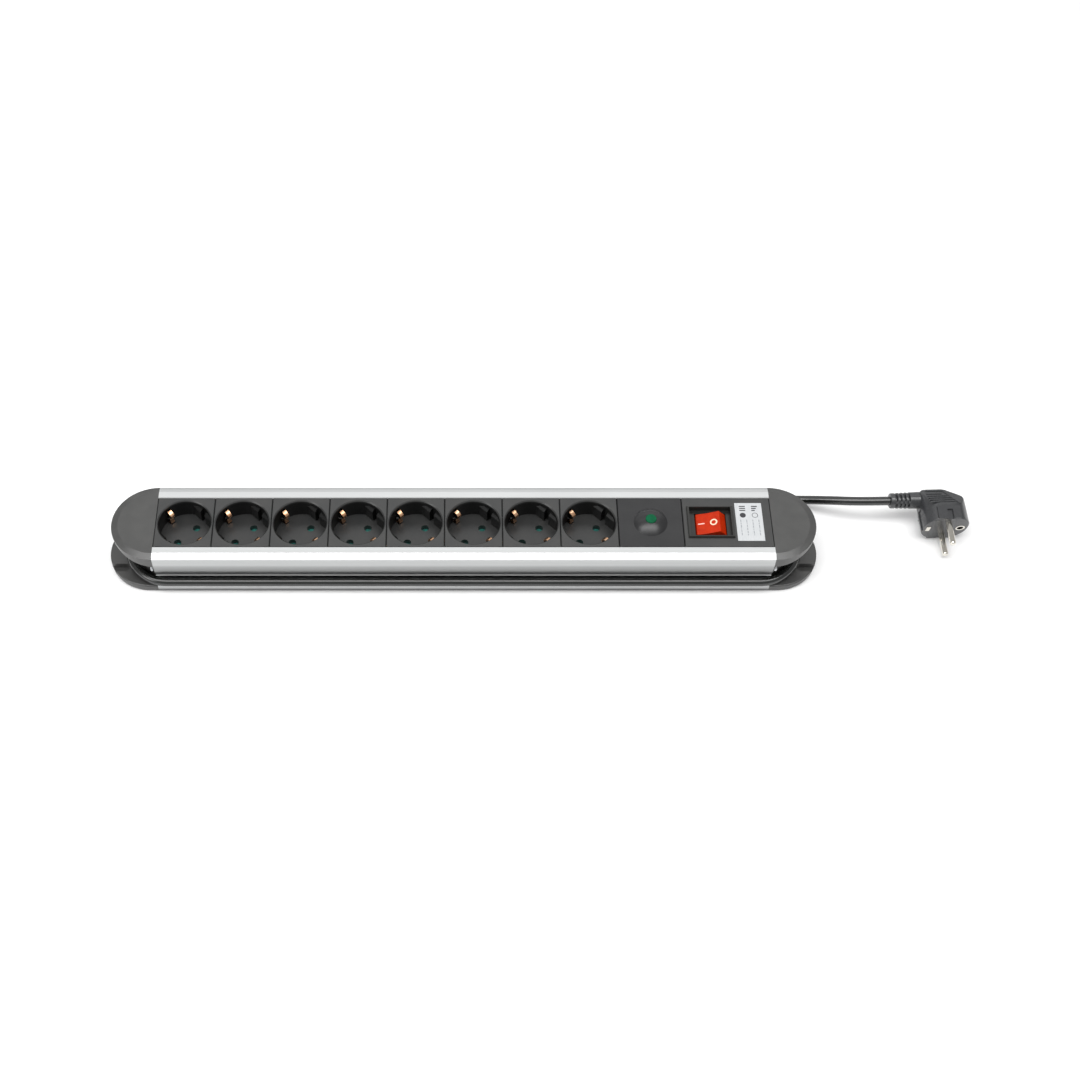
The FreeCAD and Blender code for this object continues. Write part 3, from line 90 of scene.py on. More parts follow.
class Finish:
    """The material of one slot: a Principled shader whose sockets are fed by short calls."""

    def __init__(self, slot, constants):
        material = bpy.data.materials[slot]
        material.use_nodes = True
        tree = material.node_tree
        tree.nodes.clear()
        self.material = material
        self.nodes = tree.nodes
        self.links = tree.links
        output = self.nodes.new("ShaderNodeOutputMaterial")
        self.shader = self.nodes.new("ShaderNodeBsdfPrincipled")
        self.links.new(self.shader.outputs[0], output.inputs["Surface"])
        self.place = self.nodes.new("ShaderNodeTexCoord").outputs["Object"]
        for name, value in constants.items():
            self.shader.inputs[name].default_value = value

    def scaled(self, size, stretch):
        """The object's own coordinates, in units of size metres times the stretch on each axis."""
        mapping = self.nodes.new("ShaderNodeMapping")
        mapping.inputs["Scale"].default_value = [1 / (size * s) for s in stretch]
        self.links.new(self.place, mapping.inputs["Vector"])
        return mapping.outputs["Vector"]

    def noise(self, size, stretch=EVEN, detail=2.0):
        """Noise whose features are about size metres, times the stretch along X, Y and Z."""
        node = self.nodes.new("ShaderNodeTexNoise")
        node.inputs["Scale"].default_value = 1.0
        node.inputs["Detail"].default_value = detail
        self.links.new(self.scaled(size, stretch), node.inputs["Vector"])
        return node.outputs["Fac"]

    def cells(self, size):
        """Round cells about size metres across."""
        node = self.nodes.new("ShaderNodeTexVoronoi")
        node.inputs["Scale"].default_value = 1.0
        self.links.new(self.scaled(size, EVEN), node.inputs["Vector"])
        return node.outputs["Distance"]

    def ranged(self, value, low, high, start=0.3, end=0.7):
        """Number that goes from low to high as the value goes from start to end."""
        node = self.nodes.new("ShaderNodeMapRange")
        limits = {"From Min": start, "From Max": end, "To Min": low, "To Max": high}
        for name, number in limits.items():
            node.inputs[name].default_value = number
        self.links.new(value, node.inputs["Value"])
        return node.outputs["Result"]

    def blend(self, value, first, second, start=0.3, end=0.7):
        """Colour that goes from first to second as the value goes from start to end."""
        ramp = self.nodes.new("ShaderNodeValToRGB")
        ramp.color_ramp.elements[0].position = start
        ramp.color_ramp.elements[1].position = end
        ramp.color_ramp.elements[0].color = (*first, 1)
        ramp.color_ramp.elements[1].color = (*second, 1)
        self.links.new(value, ramp.inputs["Fac"])
        return ramp.outputs["Color"]

    def painted_shade(self, color, levels, low, high):
        """The colour with painted shade, darkened by height: levels are (height, grey) pairs
        between low and high.
        """
        parts = self.nodes.new("ShaderNodeSeparateXYZ")
        self.links.new(self.place, parts.inputs["Vector"])
        height = self.ranged(parts.outputs["Z"], 0.0, 1.0, low, high)
        ramp = self.nodes.new("ShaderNodeValToRGB")
        stops = ramp.color_ramp.elements
        while len(stops) < len(levels):
            stops.new(0.5)
        for stop, (level, grey) in zip(stops, levels):
            stop.position = (level - low) / (high - low)
            stop.color = (grey, grey, grey, 1)
        self.links.new(height, ramp.inputs["Fac"])
        mix = self.nodes.new("ShaderNodeMix")
        mix.data_type = "RGBA"
        mix.blend_type = "MULTIPLY"
        mix.inputs["Factor"].default_value = 1.0
        self.links.new(color, mix.inputs["A"])
        self.links.new(ramp.outputs["Color"], mix.inputs["B"])
        return mix.outputs["Result"]

    def feed(self, name, output):
        self.links.new(output, self.shader.inputs[name])

    def bump(self, height, depth, strength):
        """Relief of the given depth in metres; a second call adds to the first."""
        node = self.nodes.new("ShaderNodeBump")
        node.inputs["Strength"].default_value = strength
        node.inputs["Distance"].default_value = depth
        self.links.new(height, node.inputs["Height"])
        normal = self.shader.inputs["Normal"]
        if normal.is_linked:
            self.links.new(normal.links[0].from_socket, node.inputs["Normal"])
        self.links.new(node.outputs["Normal"], normal)


# painted shade of the anodised walls, darker where they face down, as (height, grey) pairs
ALUMINIUM_TOP = 45 * MM
ALUMINIUM_PAINTED_SHADE = tuple((height * MM, grey) for height, grey in (
    (0.0, 0.08), (1.2, 0.20), (2.6, 0.32), (5.0, 0.58), (6.4, 1.0), (16.4, 1.0), (18.4, 0.55),
    (20.0, 0.34), (25.0, 0.28), (29.0, 0.36), (33.0, 0.47), (35.0, 0.64), (42.5, 0.68),
    (43.6, 0.94),
))

# painted shade of the wells: polished walls darker than the floors, as (height, grey) pairs
WELL_BOTTOM = 26 * MM
WELL_TOP = 45 * MM
WELL_PAINTED_SHADE = tuple((height * MM, grey) for height, grey in (
    (26.0, 0.9), (26.9, 0.9), (27.4, 0.30), (41.0, 0.30), (43.4, 1.0), (45.0, 1.0),
))


def finish_aluminium():
    """Clear-anodised extrusion: fine drawn lines along X, and slight clouding."""
    f = Finish("aluminium", {"Metallic": 1.0, "Anisotropic": 0.35})
    lines = f.noise(0.5 * MM, (600, 1, 1), 3.0)
    clouds = f.noise(30 * MM, (3, 1, 1))
    metal = f.blend(lines, (0.67, 0.685, 0.685), (0.73, 0.74, 0.74))
    # painted shade: the base colour is darkened by height, darkest at the foot of the profile and
    # low on the walls
    f.feed("Base Color", f.painted_shade(metal, ALUMINIUM_PAINTED_SHADE, 0.0, ALUMINIUM_TOP))
    f.feed("Roughness", f.ranged(clouds, 0.28, 0.35))
    f.bump(lines, 0.01 * MM, 0.5)


def finish_grained_plastic(slot, dark, light, grain, depth, rough, gloss):
    """Spark-eroded plastic: fine grain, with faint broad variation in tone."""
    f = Finish(slot, {"Specular IOR Level": gloss})
    fine = f.noise(grain, EVEN, 3.0)
    broad = f.noise(CLOUD)
    f.feed("Base Color", f.blend(broad, dark, light))
    f.feed("Roughness", f.ranged(fine, rough[0], rough[1]))
    f.bump(fine, depth, 0.6)
    f.bump(f.cells(grain * 1.6), depth, 0.4)


def finish_plastics():
    satin = 0.5
    shiny = 0.75
    rows = (
        ("cap_plastic", (0.036, 0.036, 0.035), (0.048, 0.048, 0.046),
         0.45 * MM, 0.05 * MM, (0.32, 0.42), shiny),
        ("indicator_plastic", (0.012, 0.012, 0.013), (0.017, 0.017, 0.018),
         0.3 * MM, 0.012 * MM, (0.26, 0.36), satin),
        ("switch_plastic", (0.011, 0.011, 0.010), (0.016, 0.016, 0.014),
         0.3 * MM, 0.015 * MM, (0.24, 0.32), satin),
        ("plug_rubber", (0.026, 0.027, 0.029), (0.036, 0.037, 0.040),
         0.35 * MM, 0.02 * MM, (0.22, 0.32), shiny),
        ("carrier_plastic", (0.45, 0.43, 0.38), (0.52, 0.50, 0.45),
         0.5 * MM, 0.02 * MM, (0.45, 0.55), satin),
    )
    for row in rows:
        finish_grained_plastic(*row)


def finish_inserts():
    """Black inserts: satin on top, with painted shade darkening the colour and the specular level
    down the walls of the wells.
    """
    f = Finish("insert_plastic", {})
    fine = f.noise(0.3 * MM, EVEN, 3.0)
    black = f.blend(f.noise(CLOUD), (0.018, 0.019, 0.019), (0.026, 0.026, 0.025))
    gloss = f.ranged(fine, 0.72, 0.78)
    # painted shade: colour and specular level are darkened by height down the walls of the wells
    f.feed("Base Color", f.painted_shade(black, WELL_PAINTED_SHADE, WELL_BOTTOM, WELL_TOP))
    f.feed("Specular IOR Level", f.painted_shade(gloss, WELL_PAINTED_SHADE, WELL_BOTTOM, WELL_TOP))
    f.feed("Roughness", f.ranged(fine, 0.32, 0.42))
    f.bump(fine, 0.02 * MM, 0.6)
    f.bump(f.cells(0.5 * MM), 0.02 * MM, 0.4)


def finish_cord():
    """Extruded PVC jacket: faint lengthwise flow marks and a soft sheen."""
    f = Finish("cord_rubber", {"Specular IOR Level": 0.9})
    fine = f.noise(0.6 * MM, (8, 1, 1), 3.0)
    jacket = f.blend(f.noise(25 * MM), (0.004, 0.005, 0.004), (0.007, 0.008, 0.007))
    f.feed("Base Color", jacket)
    f.feed("Roughness", f.ranged(fine, 0.17, 0.25))
    f.bump(fine, 0.01 * MM, 0.4)


def finish_rocker():
    """Clear-tinted red-orange plastic with depth."""
    f = Finish("rocker_red", {
        "Subsurface Weight": 0.15,
        "Subsurface Radius": (1.0, 0.25, 0.1),
        "Subsurface Scale": 1.0 * MM,
        "Specular IOR Level": 0.12,
    })
    f.feed("Base Color", f.blend(f.noise(5 * MM), (0.40, 0.019, 0.002), (0.50, 0.029, 0.004)))
    f.feed("Roughness", f.ranged(f.noise(0.8 * MM), 0.22, 0.30))
    f.bump(f.noise(2.5 * MM), 0.05 * MM, 0.3)


def finish_lens():
    """Green lens with a faceted inside."""
    f = Finish("lens_green", {"Specular IOR Level": 0.12})
    f.feed("Base Color", f.blend(f.noise(2 * MM), (0.0005, 0.070, 0.026), (0.001, 0.100, 0.040)))
    f.feed("Roughness", f.ranged(f.noise(0.5 * MM), 0.10, 0.18))
    f.bump(f.cells(0.9 * MM), 0.08 * MM, 0.4)


def finish_metal(slot, dark, light, rough, size=0.3 * MM, stretch=EVEN):
    """Bare or plated metal: brushed or stamped marks of the given size, and clouded tone."""
    f = Finish(slot, {"Metallic": 1.0})
    marks = f.noise(size, stretch, 3.0)
    f.feed("Base Color", f.blend(f.noise(6 * MM, EVEN, 4.0), dark, light))
    f.feed("Roughness", f.ranged(marks, rough[0], rough[1]))
    f.bump(marks, 0.01 * MM, 0.5)


def finish_metals():
    along = (20, 1, 1)
    across = (1, 8, 1)
    finish_metal("brass", (0.60, 0.42, 0.16), (0.78, 0.57, 0.25), (0.25, 0.38), 0.4 * MM, along)
    finish_metal("copper", (0.62, 0.32, 0.17), (0.80, 0.52, 0.34), (0.22, 0.34), 0.4 * MM)
    finish_metal("zinc_steel", (0.58, 0.60, 0.62), (0.78, 0.80, 0.82), (0.22, 0.34))
    finish_metal("spring_steel", (0.40, 0.40, 0.41), (0.55, 0.55, 0.56), (0.25, 0.35))
    finish_metal("nickel", (0.70, 0.67, 0.60), (0.84, 0.81, 0.74), (0.05, 0.12), 0.5 * MM, across)


def finish_small_parts():
    """Parts inside the housing: mottled or moulded surfaces in their own colours."""
    rows = (
        ("led_green", (0.02, 0.25, 0.10), (0.04, 0.38, 0.16), 0.20),
        ("shutter_teal", (0.006, 0.085, 0.072), (0.012, 0.135, 0.112), 0.38),
        ("circuit_board", (0.02, 0.14, 0.05), (0.04, 0.22, 0.08), 0.40),
        ("varistor_blue", (0.02, 0.08, 0.35), (0.03, 0.12, 0.45), 0.35),
        ("fuse_white", (0.70, 0.69, 0.65), (0.82, 0.81, 0.78), 0.40),
        ("wire_brown", (0.13, 0.05, 0.02), (0.18, 0.07, 0.03), 0.45),
        ("wire_blue", (0.02, 0.10, 0.42), (0.03, 0.14, 0.52), 0.45),
        ("wire_green", (0.10, 0.42, 0.05), (0.55, 0.60, 0.04), 0.45),
    )
    for slot, dark, light, rough in rows:
        f = Finish(slot, {"Specular IOR Level": 0.5})
        fine = f.noise(0.5 * MM, EVEN, 3.0)
        f.feed("Base Color", f.blend(f.noise(4 * MM), dark, light, 0.45, 0.55))
        f.feed("Roughness", f.ranged(fine, rough, rough + 0.1))
        f.bump(fine, 0.015 * MM, 0.5)


def finish_label():
    """Metallised paper with faint fibres."""
    f = Finish("label_silver", {"Metallic": 0.15, "Specular IOR Level": 0.4})
    fibres = f.noise(0.5 * MM, (1, 6, 1), 4.0)
    f.feed("Base Color", f.blend(fibres, (0.50, 0.52, 0.53), (0.57, 0.58, 0.59)))
    f.feed("Roughness", f.ranged(fibres, 0.40, 0.55))
    f.bump(fibres, 0.01 * MM, 0.4)


def finish_ink(name, dark, light):
    """Printed or moulded marks; the material has no slot of its own."""
    bpy.data.materials.new(name)
    f = Finish(name, {"Specular IOR Level": 0.4})
    speckle = f.noise(0.2 * MM, EVEN, 3.0)
    f.feed("Base Color", f.blend(speckle, dark, light))
    f.feed("Roughness", f.ranged(speckle, 0.4, 0.6))
    f.bump(speckle, 0.005 * MM, 0.4)
    return f.material


finish_aluminium()
finish_plastics()
finish_inserts()
finish_cord()
finish_rocker()
finish_lens()
finish_metals()
finish_small_parts()
finish_label()
PRINT_BLACK = finish_ink("print_black", (0.02, 0.02, 0.025), (0.05, 0.05, 0.055))
PRINT_GREY = finish_ink("print_grey", (0.20, 0.21, 0.23), (0.30, 0.31, 0.33))
MARK_CREAM = finish_ink("mark_cream", (0.80, 0.62, 0.45), (0.88, 0.70, 0.52))
MARK_PINK = finish_ink("mark_pink", (0.85, 0.48, 0.42), (0.90, 0.56, 0.50))


# ---------------------------------------------------------------- mesh helpers
def add_object(name, data, material, body):
    """Link a piece, give it its material and slot, and let it ride on its body."""
    piece = bpy.data.objects.new(name, data)
    bpy.context.scene.collection.objects.link(piece)
    data.materials.append(material)
    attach(piece, body)
    return piece


def add_piece(name, data, slot):
    """Link a piece of the strip's own body that has its slot's material."""
    return add_object(name, data, bpy.data.materials[slot], "strip")


def mesh_from(bm, name, smooth_angle=35.0):
    """Mesh from a bmesh, shaded smooth up to the angle in degrees."""
    bmesh.ops.recalc_face_normals(bm, faces=bm.faces)
    mesh = bpy.data.meshes.new(name)
    bm.to_mesh(mesh)
    bm.free()
    for face in mesh.polygons:
        face.use_smooth = True
    mesh.set_sharp_from_angle(angle=math.radians(smooth_angle))
    return mesh


def add_loft(bm, rings, place):
    """Skin and cap closed rings of points, all with one count, after moving them with place."""
    rows = [[bm.verts.new(place @ Vector(point)) for point in ring] for ring in rings]
    count = len(rows[0])
    for first, second in zip(rows, rows[1:]):
        for i in range(count):
            j = (i + 1) % count
            bm.faces.new((first[i], first[j], second[j], second[i]))
    bm.faces.new(rows[0][::-1])
    bm.faces.new(rows[-1])


def add_slab(bm, outline, z0, z1, place):
    """Closed plate from a 2-D outline between two heights."""
    low = [bm.verts.new(place @ Vector((x, y, z0))) for x, y in outline]
    high = [bm.verts.new(place @ Vector((x, y, z1))) for x, y in outline]
    count = len(outline)
    for i in range(count):
        j = (i + 1) % count
        bm.faces.new((low[i], low[j], high[j], high[i]))
    bm.faces.new(low[::-1])
    bm.faces.new(high)


def rounded_bar(x0, x1, y0, y1, radius, steps=5):
    """Outline of a rectangle with round corners."""
    points = []
    corners = ((x1 - radius, y1 - radius), (x0 + radius, y1 - radius),
               (x0 + radius, y0 + radius), (x1 - radius, y0 + radius))
    for quarter, (cx, cy) in enumerate(corners):
        for i in range(steps + 1):
            turn = math.pi / 2 * (quarter + i / steps)
            points.append((cx + radius * math.cos(turn), cy + radius * math.sin(turn)))
    return points


def circle(cx, cy, radius):
    """Outline of a circle."""
    count = 40
    turns = [2 * math.pi * i / count for i in range(count)]
    return [(cx + radius * math.cos(t), cy + radius * math.sin(t)) for t in turns]


def add_ring(bm, cx, cy, inner, outer, z0, z1, place):
    """Flat ring with four sides to its section."""
    count = 48
    section = ((inner, z0), (outer, z0), (outer, z1), (inner, z1))
    rows = []
    for i in range(count):
        turn = 2 * math.pi * i / count
        rows.append([
            bm.verts.new(place @ Vector((cx + r * math.cos(turn), cy + r * math.sin(turn), z)))
            for r, z in section
        ])
    for i in range(count):
        first, second = rows[i], rows[(i + 1) % count]
        for k in range(len(section)):
            n = (k + 1) % len(section)
            bm.faces.new((first[k], second[k], second[n], first[n]))


# ---------------------------------------------------------------- power cord
PLUG_PLACE = (
    Matrix.Translation(PLUG_FACE)
    @ Matrix.Rotation(PLUG_TURN, 4, "Z")
    @ Matrix.Rotation(PLUG_LEAN, 4, "Y")
    @ Matrix.Rotation(PLUG_TIP_DOWN, 4, "X")
    @ Matrix(((1, 0, 0, 0), (0, 0, -1, 0), (0, 1, 0, 0), (0, 0, 0, 1)))
)


def cord_route():
    """Once round the strip in its side grooves, then off to the plug along the surface."""
    right = JOINT_X
    corner = right + LOOP_CORNER_X
    end = right + LOOP_REACH
    straight = corner - STRAIGHT_START
    boot_end = Vector((BOOT_END_X, 0, BOOT_AXIS_Z))
    before_boot = boot_end - Vector((BOOT_LEAD, 0, 0))
    return [
        Vector((186.0, 29.6, 11.6)) * MM,
        Vector((212.0, 31.0, 11.0)) * MM,
        Vector((corner, GROOVE_Y, GROOVE_Z)),
        Vector((end, LOOP_CORNER_Y, GROOVE_Z)),
        Vector((end, -LOOP_CORNER_Y, GROOVE_Z)),
        Vector((corner, -GROOVE_Y, GROOVE_Z)),
        Vector((straight, -GROOVE_Y, GROOVE_Z)),
        Vector((-straight, -GROOVE_Y, GROOVE_Z)),
        Vector((-corner, -GROOVE_Y, GROOVE_Z)),
        Vector((-end, -LOOP_CORNER_Y, GROOVE_Z)),
        Vector((-end, LOOP_CORNER_Y, GROOVE_Z)),
        Vector((-corner, GROOVE_Y, GROOVE_Z)),
        Vector((-straight, GROOVE_Y, GROOVE_Z)),
        Vector((66.0, 32.5, 10.6)) * MM,
        Vector((96.0, 32.5, 10.6)) * MM,
        Vector((126.0, 37.5, 10.9)) * MM,
        Vector((156.0, 45.0, 7.6)) * MM,
        Vector((188.0, 50.0, 3.9)) * MM,
        Vector((216.0, 51.4, 3.6)) * MM,
        Vector((242.0, 51.4, 3.9)) * MM,
        Vector((264.0, 48.8, 7.0)) * MM,
        Vector((287.0, 41.0, 17.0)) * MM,
        PLUG_PLACE @ before_boot,
        PLUG_PLACE @ boot_end,
    ]


def build_cord():
    route = cord_route()
    curve = bpy.data.curves.new("mains_cord", "CURVE")
    curve.dimensions = "3D"
    curve.bevel_depth = CORD_DIAMETER / 2
    curve.bevel_resolution = 8
    curve.resolution_u = 16
    curve.use_fill_caps = True
    spline = curve.splines.new("NURBS")
    spline.points.add(len(route) - 1)
    for point, place in zip(spline.points, route):
        point.co = (*place, 1.0)
    spline.order_u = 3
    spline.use_endpoint_u = True
    spline.use_smooth = True
    cord = add_piece("mains_cord", curve, "cord_rubber")
    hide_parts("power_cord")
    return cord, route[0]


# ---------------------------------------------------------------- moulded sleeves on the cord
def smooth_step(value):
    """0 to 1 with no corner at either end."""
    value = min(1.0, max(0.0, value))
    return value * value * (3 - 2 * value)


def pulse(distance, half_width, edge):
    """1 within half_width of zero, falling to 0 over the edge."""
    return 1 - smooth_step((abs(distance) - half_width) / edge)


def sleeve_rings(length, radius_at, count):
    """Rings of a sleeve along +X, closed round its bore; radius_at(x, turn) is the outside."""
    bore = 3.45 * MM
    rows = int(length / (0.22 * MM))
    rings = []
    for i in range(rows + 1):
        x = length * i / rows
        turns = [2 * math.pi * k / count for k in range(count)]
        rings.append([
            (x, radius_at(x, t) * math.cos(t), radius_at(x, t) * math.sin(t)) for t in turns
        ])
    for x in (length, 0):
        rings.append([(x, bore * math.cos(t), bore * math.sin(t)) for t in turns])
    return rings


def add_sleeve(bm, rings, place):
    """Skin the rings into a tube whose last ring joins the first one."""
    rows = [[bm.verts.new(place @ Vector(point)) for point in ring] for ring in rings]
    count = len(rows[0])
    for first, second in zip(rows, rows[1:] + rows[:1]):
        for i in range(count):
            j = (i + 1) % count
            bm.faces.new((first[i], first[j], second[j], second[i]))


def build_boot():
    """Strain relief on the plug: four rows of slots between flexible rings, and a round collar."""
    length = BOOT_START_X - BOOT_END_X
    slot_rows = 4
    slot_start = 4.2 * MM
    slot_pitch = 3.3 * MM
    slot_half = 0.55 * MM
    slot_edge = 0.45 * MM
    slot_depth = 1.9 * MM
    window_half = math.radians(31)
    window_edge = math.radians(7)
    ring_depth = 0.35 * MM
    nose = 1.0 * MM
    nose_drop = 0.9 * MM

    def radius_at(x, turn):
        radius = BOOT_R1 + (BOOT_R0 - BOOT_R1) * x / length
        radius -= nose_drop * (1 - math.sqrt(max(0.0, 1 - (1 - min(1.0, x / nose)) ** 2)))
        groove = sum(
            pulse(x - slot_start - i * slot_pitch, slot_half, slot_edge) for i in range(slot_rows)
        )
        around = (turn + math.pi / 4) % (math.pi / 2) - math.pi / 4
        window = pulse(around, window_half, window_edge)
        return radius - slot_depth * groove * window - ring_depth * groove

    bm = bmesh.new()
    place = PLUG_PLACE @ Matrix.Translation(Vector((BOOT_END_X, 0, BOOT_AXIS_Z)))
    add_sleeve(bm, sleeve_rings(length, radius_at, 120), place)
    mesh = mesh_from(bm, "plug_bend_sleeve", 60.0)
    piece = add_piece("plug_bend_sleeve", mesh, "plug_rubber")
    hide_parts("plug_boot")
    return piece


def build_inlet_sleeve():
    """Tapered sleeve at the housing, with ring grooves."""
    low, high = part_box("cord_strain_relief")
    length = high.x - low.x
    axis = Vector((low.x, (low.y + high.y) / 2, (low.z + high.z) / 2))
    start_radius = (high.y - low.y) / 2
    end_radius = start_radius - 0.5 * MM
    pitch = 2.8 * MM
    first = 3.5 * MM
    plain_start = 2.5 * MM
    plain_end = 2.0 * MM
    groove_half = 0.4 * MM
    groove_depth = 0.55 * MM

    def radius_at(x, _):
        radius = start_radius + (end_radius - start_radius) * x / length
        nearest = (x - first) % pitch - pitch / 2
        inside = plain_start < x < length - plain_end
        return radius - (groove_depth * pulse(nearest, groove_half, groove_half) if inside else 0)

    bm = bmesh.new()
    add_sleeve(bm, sleeve_rings(length, radius_at, 72), Matrix.Translation(axis))
    mesh = mesh_from(bm, "inlet_bend_sleeve", 60.0)
    piece = add_piece("inlet_bend_sleeve", mesh, "cord_rubber")
    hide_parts("cord_strain_relief")
    return piece


# ---------------------------------------------------------------- plug
# the plug's outline at each depth, from its back to its face, as (depth, reach) pairs
SIDE_CORD = (
    (PLUG_BACK, -14.0 * MM), (-29 * MM, -17.3 * MM), (-17 * MM, -17.8 * MM),
    (-10 * MM, -PLUG_R), (0, -PLUG_R),
)
SIDE_FAR = ((PLUG_BACK, 1.0 * MM), (-20 * MM, 17.0 * MM), (-8 * MM, PLUG_R), (0, PLUG_R))
FLANK = ((PLUG_BACK, PLUG_BACK_HALF), (FLANK_Z, PLUG_FLANK), (0, PLUG_FLANK))
CORNER_POWER = 22                               # how tight the corners between the sides are
FLANK_LEAN = math.atan2(PLUG_FLANK - PLUG_BACK_HALF, FLANK_Z - PLUG_BACK)


def between(value, points):
    """Reach on a line through (depth, reach) points."""
    for (a, u), (b, v) in zip(points, points[1:]):
        if value <= b:
            return u + (v - u) * (value - a) / (b - a)
    return points[-1][1]


def plug_ring(z, shrink, count):
    """Outline of the plug at depth z, pulled in by shrink."""
    cord_side = between(z, SIDE_CORD) + shrink
    far_side = between(z, SIDE_FAR) - shrink
    flank = between(z, FLANK) - shrink
    radius = PLUG_R - shrink
    centre = (cord_side + far_side) / 2
    half = (far_side - cord_side) / 2
    ring = []
    for i in range(count):
        turn = 2 * math.pi * (i + 0.5) / count
        dx, dy = math.cos(turn), math.sin(turn)
        reaches = (
            flank / abs(dy),
            half / abs(dx),
            math.sqrt(radius ** 2 - (centre * dy) ** 2) - centre * dx,
        )
        far = sum(reach ** -CORNER_POWER for reach in reaches) ** (-1 / CORNER_POWER)
        ring.append((centre + far * dx, far * dy, z))
    return ring


def rounding(at, edge, steps, sign):
    """(depth, shrink) pairs of a rounded edge, from the end face inward."""
    turns = [math.pi / 2 * i / steps for i in range(steps + 1)]
    return [(at + sign * edge * (1 - math.cos(t)), edge * (1 - math.sin(t))) for t in turns]


def plug_solid():
    back_edge = 2.0 * MM
    face_edge = 0.7 * MM
    rows = 34
    levels = rounding(PLUG_BACK, back_edge, 7, 1)
    start = PLUG_BACK + back_edge
    step = (-face_edge - start) / rows
    levels += [(start + step * i, 0.0) for i in range(1, rows)]
    levels += rounding(0, face_edge, 5, -1)[::-1]
    bm = bmesh.new()
    add_loft(bm, [plug_ring(z, shrink, 176) for z, shrink in levels], Matrix.Identity(4))
    return bm


def flank_place(z, side):
    """Place on the drawn-in part of a flank: X along the cable, Y towards the back, Z outward."""
    sine = math.sin(FLANK_LEAN)
    cosine = math.cos(FLANK_LEAN)
    axes = Matrix((
        (1, 0, 0, 0),
        (0, -sine, cosine, between(z, FLANK)),
        (0, -cosine, -sine, z),
        (0, 0, 0, 1),
    ))
    return Matrix.Scale(side, 4, (0, 1, 0)) @ axes


def upright_place(side):
    """Place with Z out of a flank and Y along the pins."""
    return Matrix(((1, 0, 0, 0), (0, 0, side, 0), (0, 1, 0, 0), (0, 0, 0, 1)))


def plug_additions():
    """Grip ribs, the border beside them, the thumb rest and the raised panel, on both flanks."""
    bm = bmesh.new()
    ribs = ((-15.0, 6.0), (-17.5, 5.4), (-20.0, 4.2), (-22.5, 1.8), (-25.0, -1.4))
    for side in (-1, 1):
        for z, x1 in ribs:
            outline = rounded_bar(-14.0 * MM, x1 * MM, -0.5 * MM, 0.5 * MM, 0.4 * MM)
            add_slab(bm, outline, -1.0 * MM, 0.5 * MM, flank_place(z * MM, side))
        rest = rounded_bar(-13.0 * MM, 0.6 * MM, -1.1 * MM, 1.1 * MM, 0.7 * MM)
        add_slab(bm, rest, -1.5 * MM, 0.5 * MM, flank_place(-29.2 * MM, side))
        border = [(7.4, 0.4), (11.4, 0.4), (13.2, 4.4), (2.2, 18.6), (-0.6, 18.6)]
        outline = [(x * MM, y * MM) for x, y in border]
        add_slab(bm, outline, -1.5 * MM, 0.35 * MM, flank_place(FLANK_Z, side))
        panel = rounded_bar(-9.7 * MM, 8.3 * MM, -11.2 * MM, -0.25 * MM, 0.6 * MM)
        add_slab(bm, panel, PLUG_FLANK - 6.0 * MM, PLUG_FLAT, upright_place(side))
    return bm


def plug_cuts():
    """Guide slots in both flanks, the hole for an earth pin and the recess in the rim."""
    bm = bmesh.new()
    for side in (-1, 1):
        slot = rounded_bar(-2.2 * MM, 2.2 * MM, -8.2 * MM, 3.0 * MM, 0.5 * MM)
        add_slab(bm, slot, PLUG_FLAT - 1.6 * MM, PLUG_FLAT + 2 * MM, upright_place(side))
    hole = circle(EARTH_HOLE_X, 0, EARTH_HOLE_R + 0.02 * MM)
    add_slab(bm, hole, -13.5 * MM, 1.0 * MM, Matrix.Identity(4))
    rim = rounded_bar(-PLUG_R - MM, RECESS_X, -RECESS_HALF, RECESS_HALF, 0.3 * MM)
    add_slab(bm, rim, -15.5 * MM, 1.0 * MM, Matrix.Identity(4))
    return bm


def combine(first, second, operation):
    """Boolean of two closed shapes."""
    pieces = []
    for bm in (first, second):
        mesh = mesh_from(bm, "shape")
        piece = bpy.data.objects.new("shape", mesh)
        bpy.context.scene.collection.objects.link(piece)
        pieces.append(piece)
    modifier = pieces[0].modifiers.new("combine", "BOOLEAN")
    modifier.operation = operation
    modifier.solver = "EXACT"
    modifier.use_self = True
    modifier.object = pieces[1]
    graph = bpy.context.evaluated_depsgraph_get()
    result = bmesh.new()
    evaluated = pieces[0].evaluated_get(graph)
    result.from_mesh(evaluated.to_mesh())
    evaluated.to_mesh_clear()
    for piece in pieces:
        mesh = piece.data
        bpy.data.objects.remove(piece)
        bpy.data.meshes.remove(mesh)
    return result


def build_plug():
    """Angled plug: rounded body, grip ribs, guide slots and a raised panel on both flanks."""
    body = combine(plug_solid(), plug_additions(), "UNION")
    body = combine(body, plug_cuts(), "DIFFERENCE")
    bmesh.ops.transform(body, matrix=PLUG_PLACE, verts=body.verts)
    mesh = mesh_from(body, "plug_shell", 32.0)
    piece = add_piece("plug_shell", mesh, "plug_rubber")
    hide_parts("plug_body")
    return piece


# ---------------------------------------------------------------- marks on the rocker
ROCKER_PLACE = Matrix.Translation(ROCKER_PIVOT) @ Matrix.Rotation(-ROCKER_TILT, 4, "Y")


def dish_place(x):
    """Place on the rocker's dished top, x along it from its middle."""
    height = DISH_Z + x ** 2 / (2 * DISH_R)
    lean = Matrix.Rotation(-math.asin(x / DISH_R), 4, "Y")
    return ROCKER_PLACE @ Matrix.Translation((x, 0, height)) @ lean


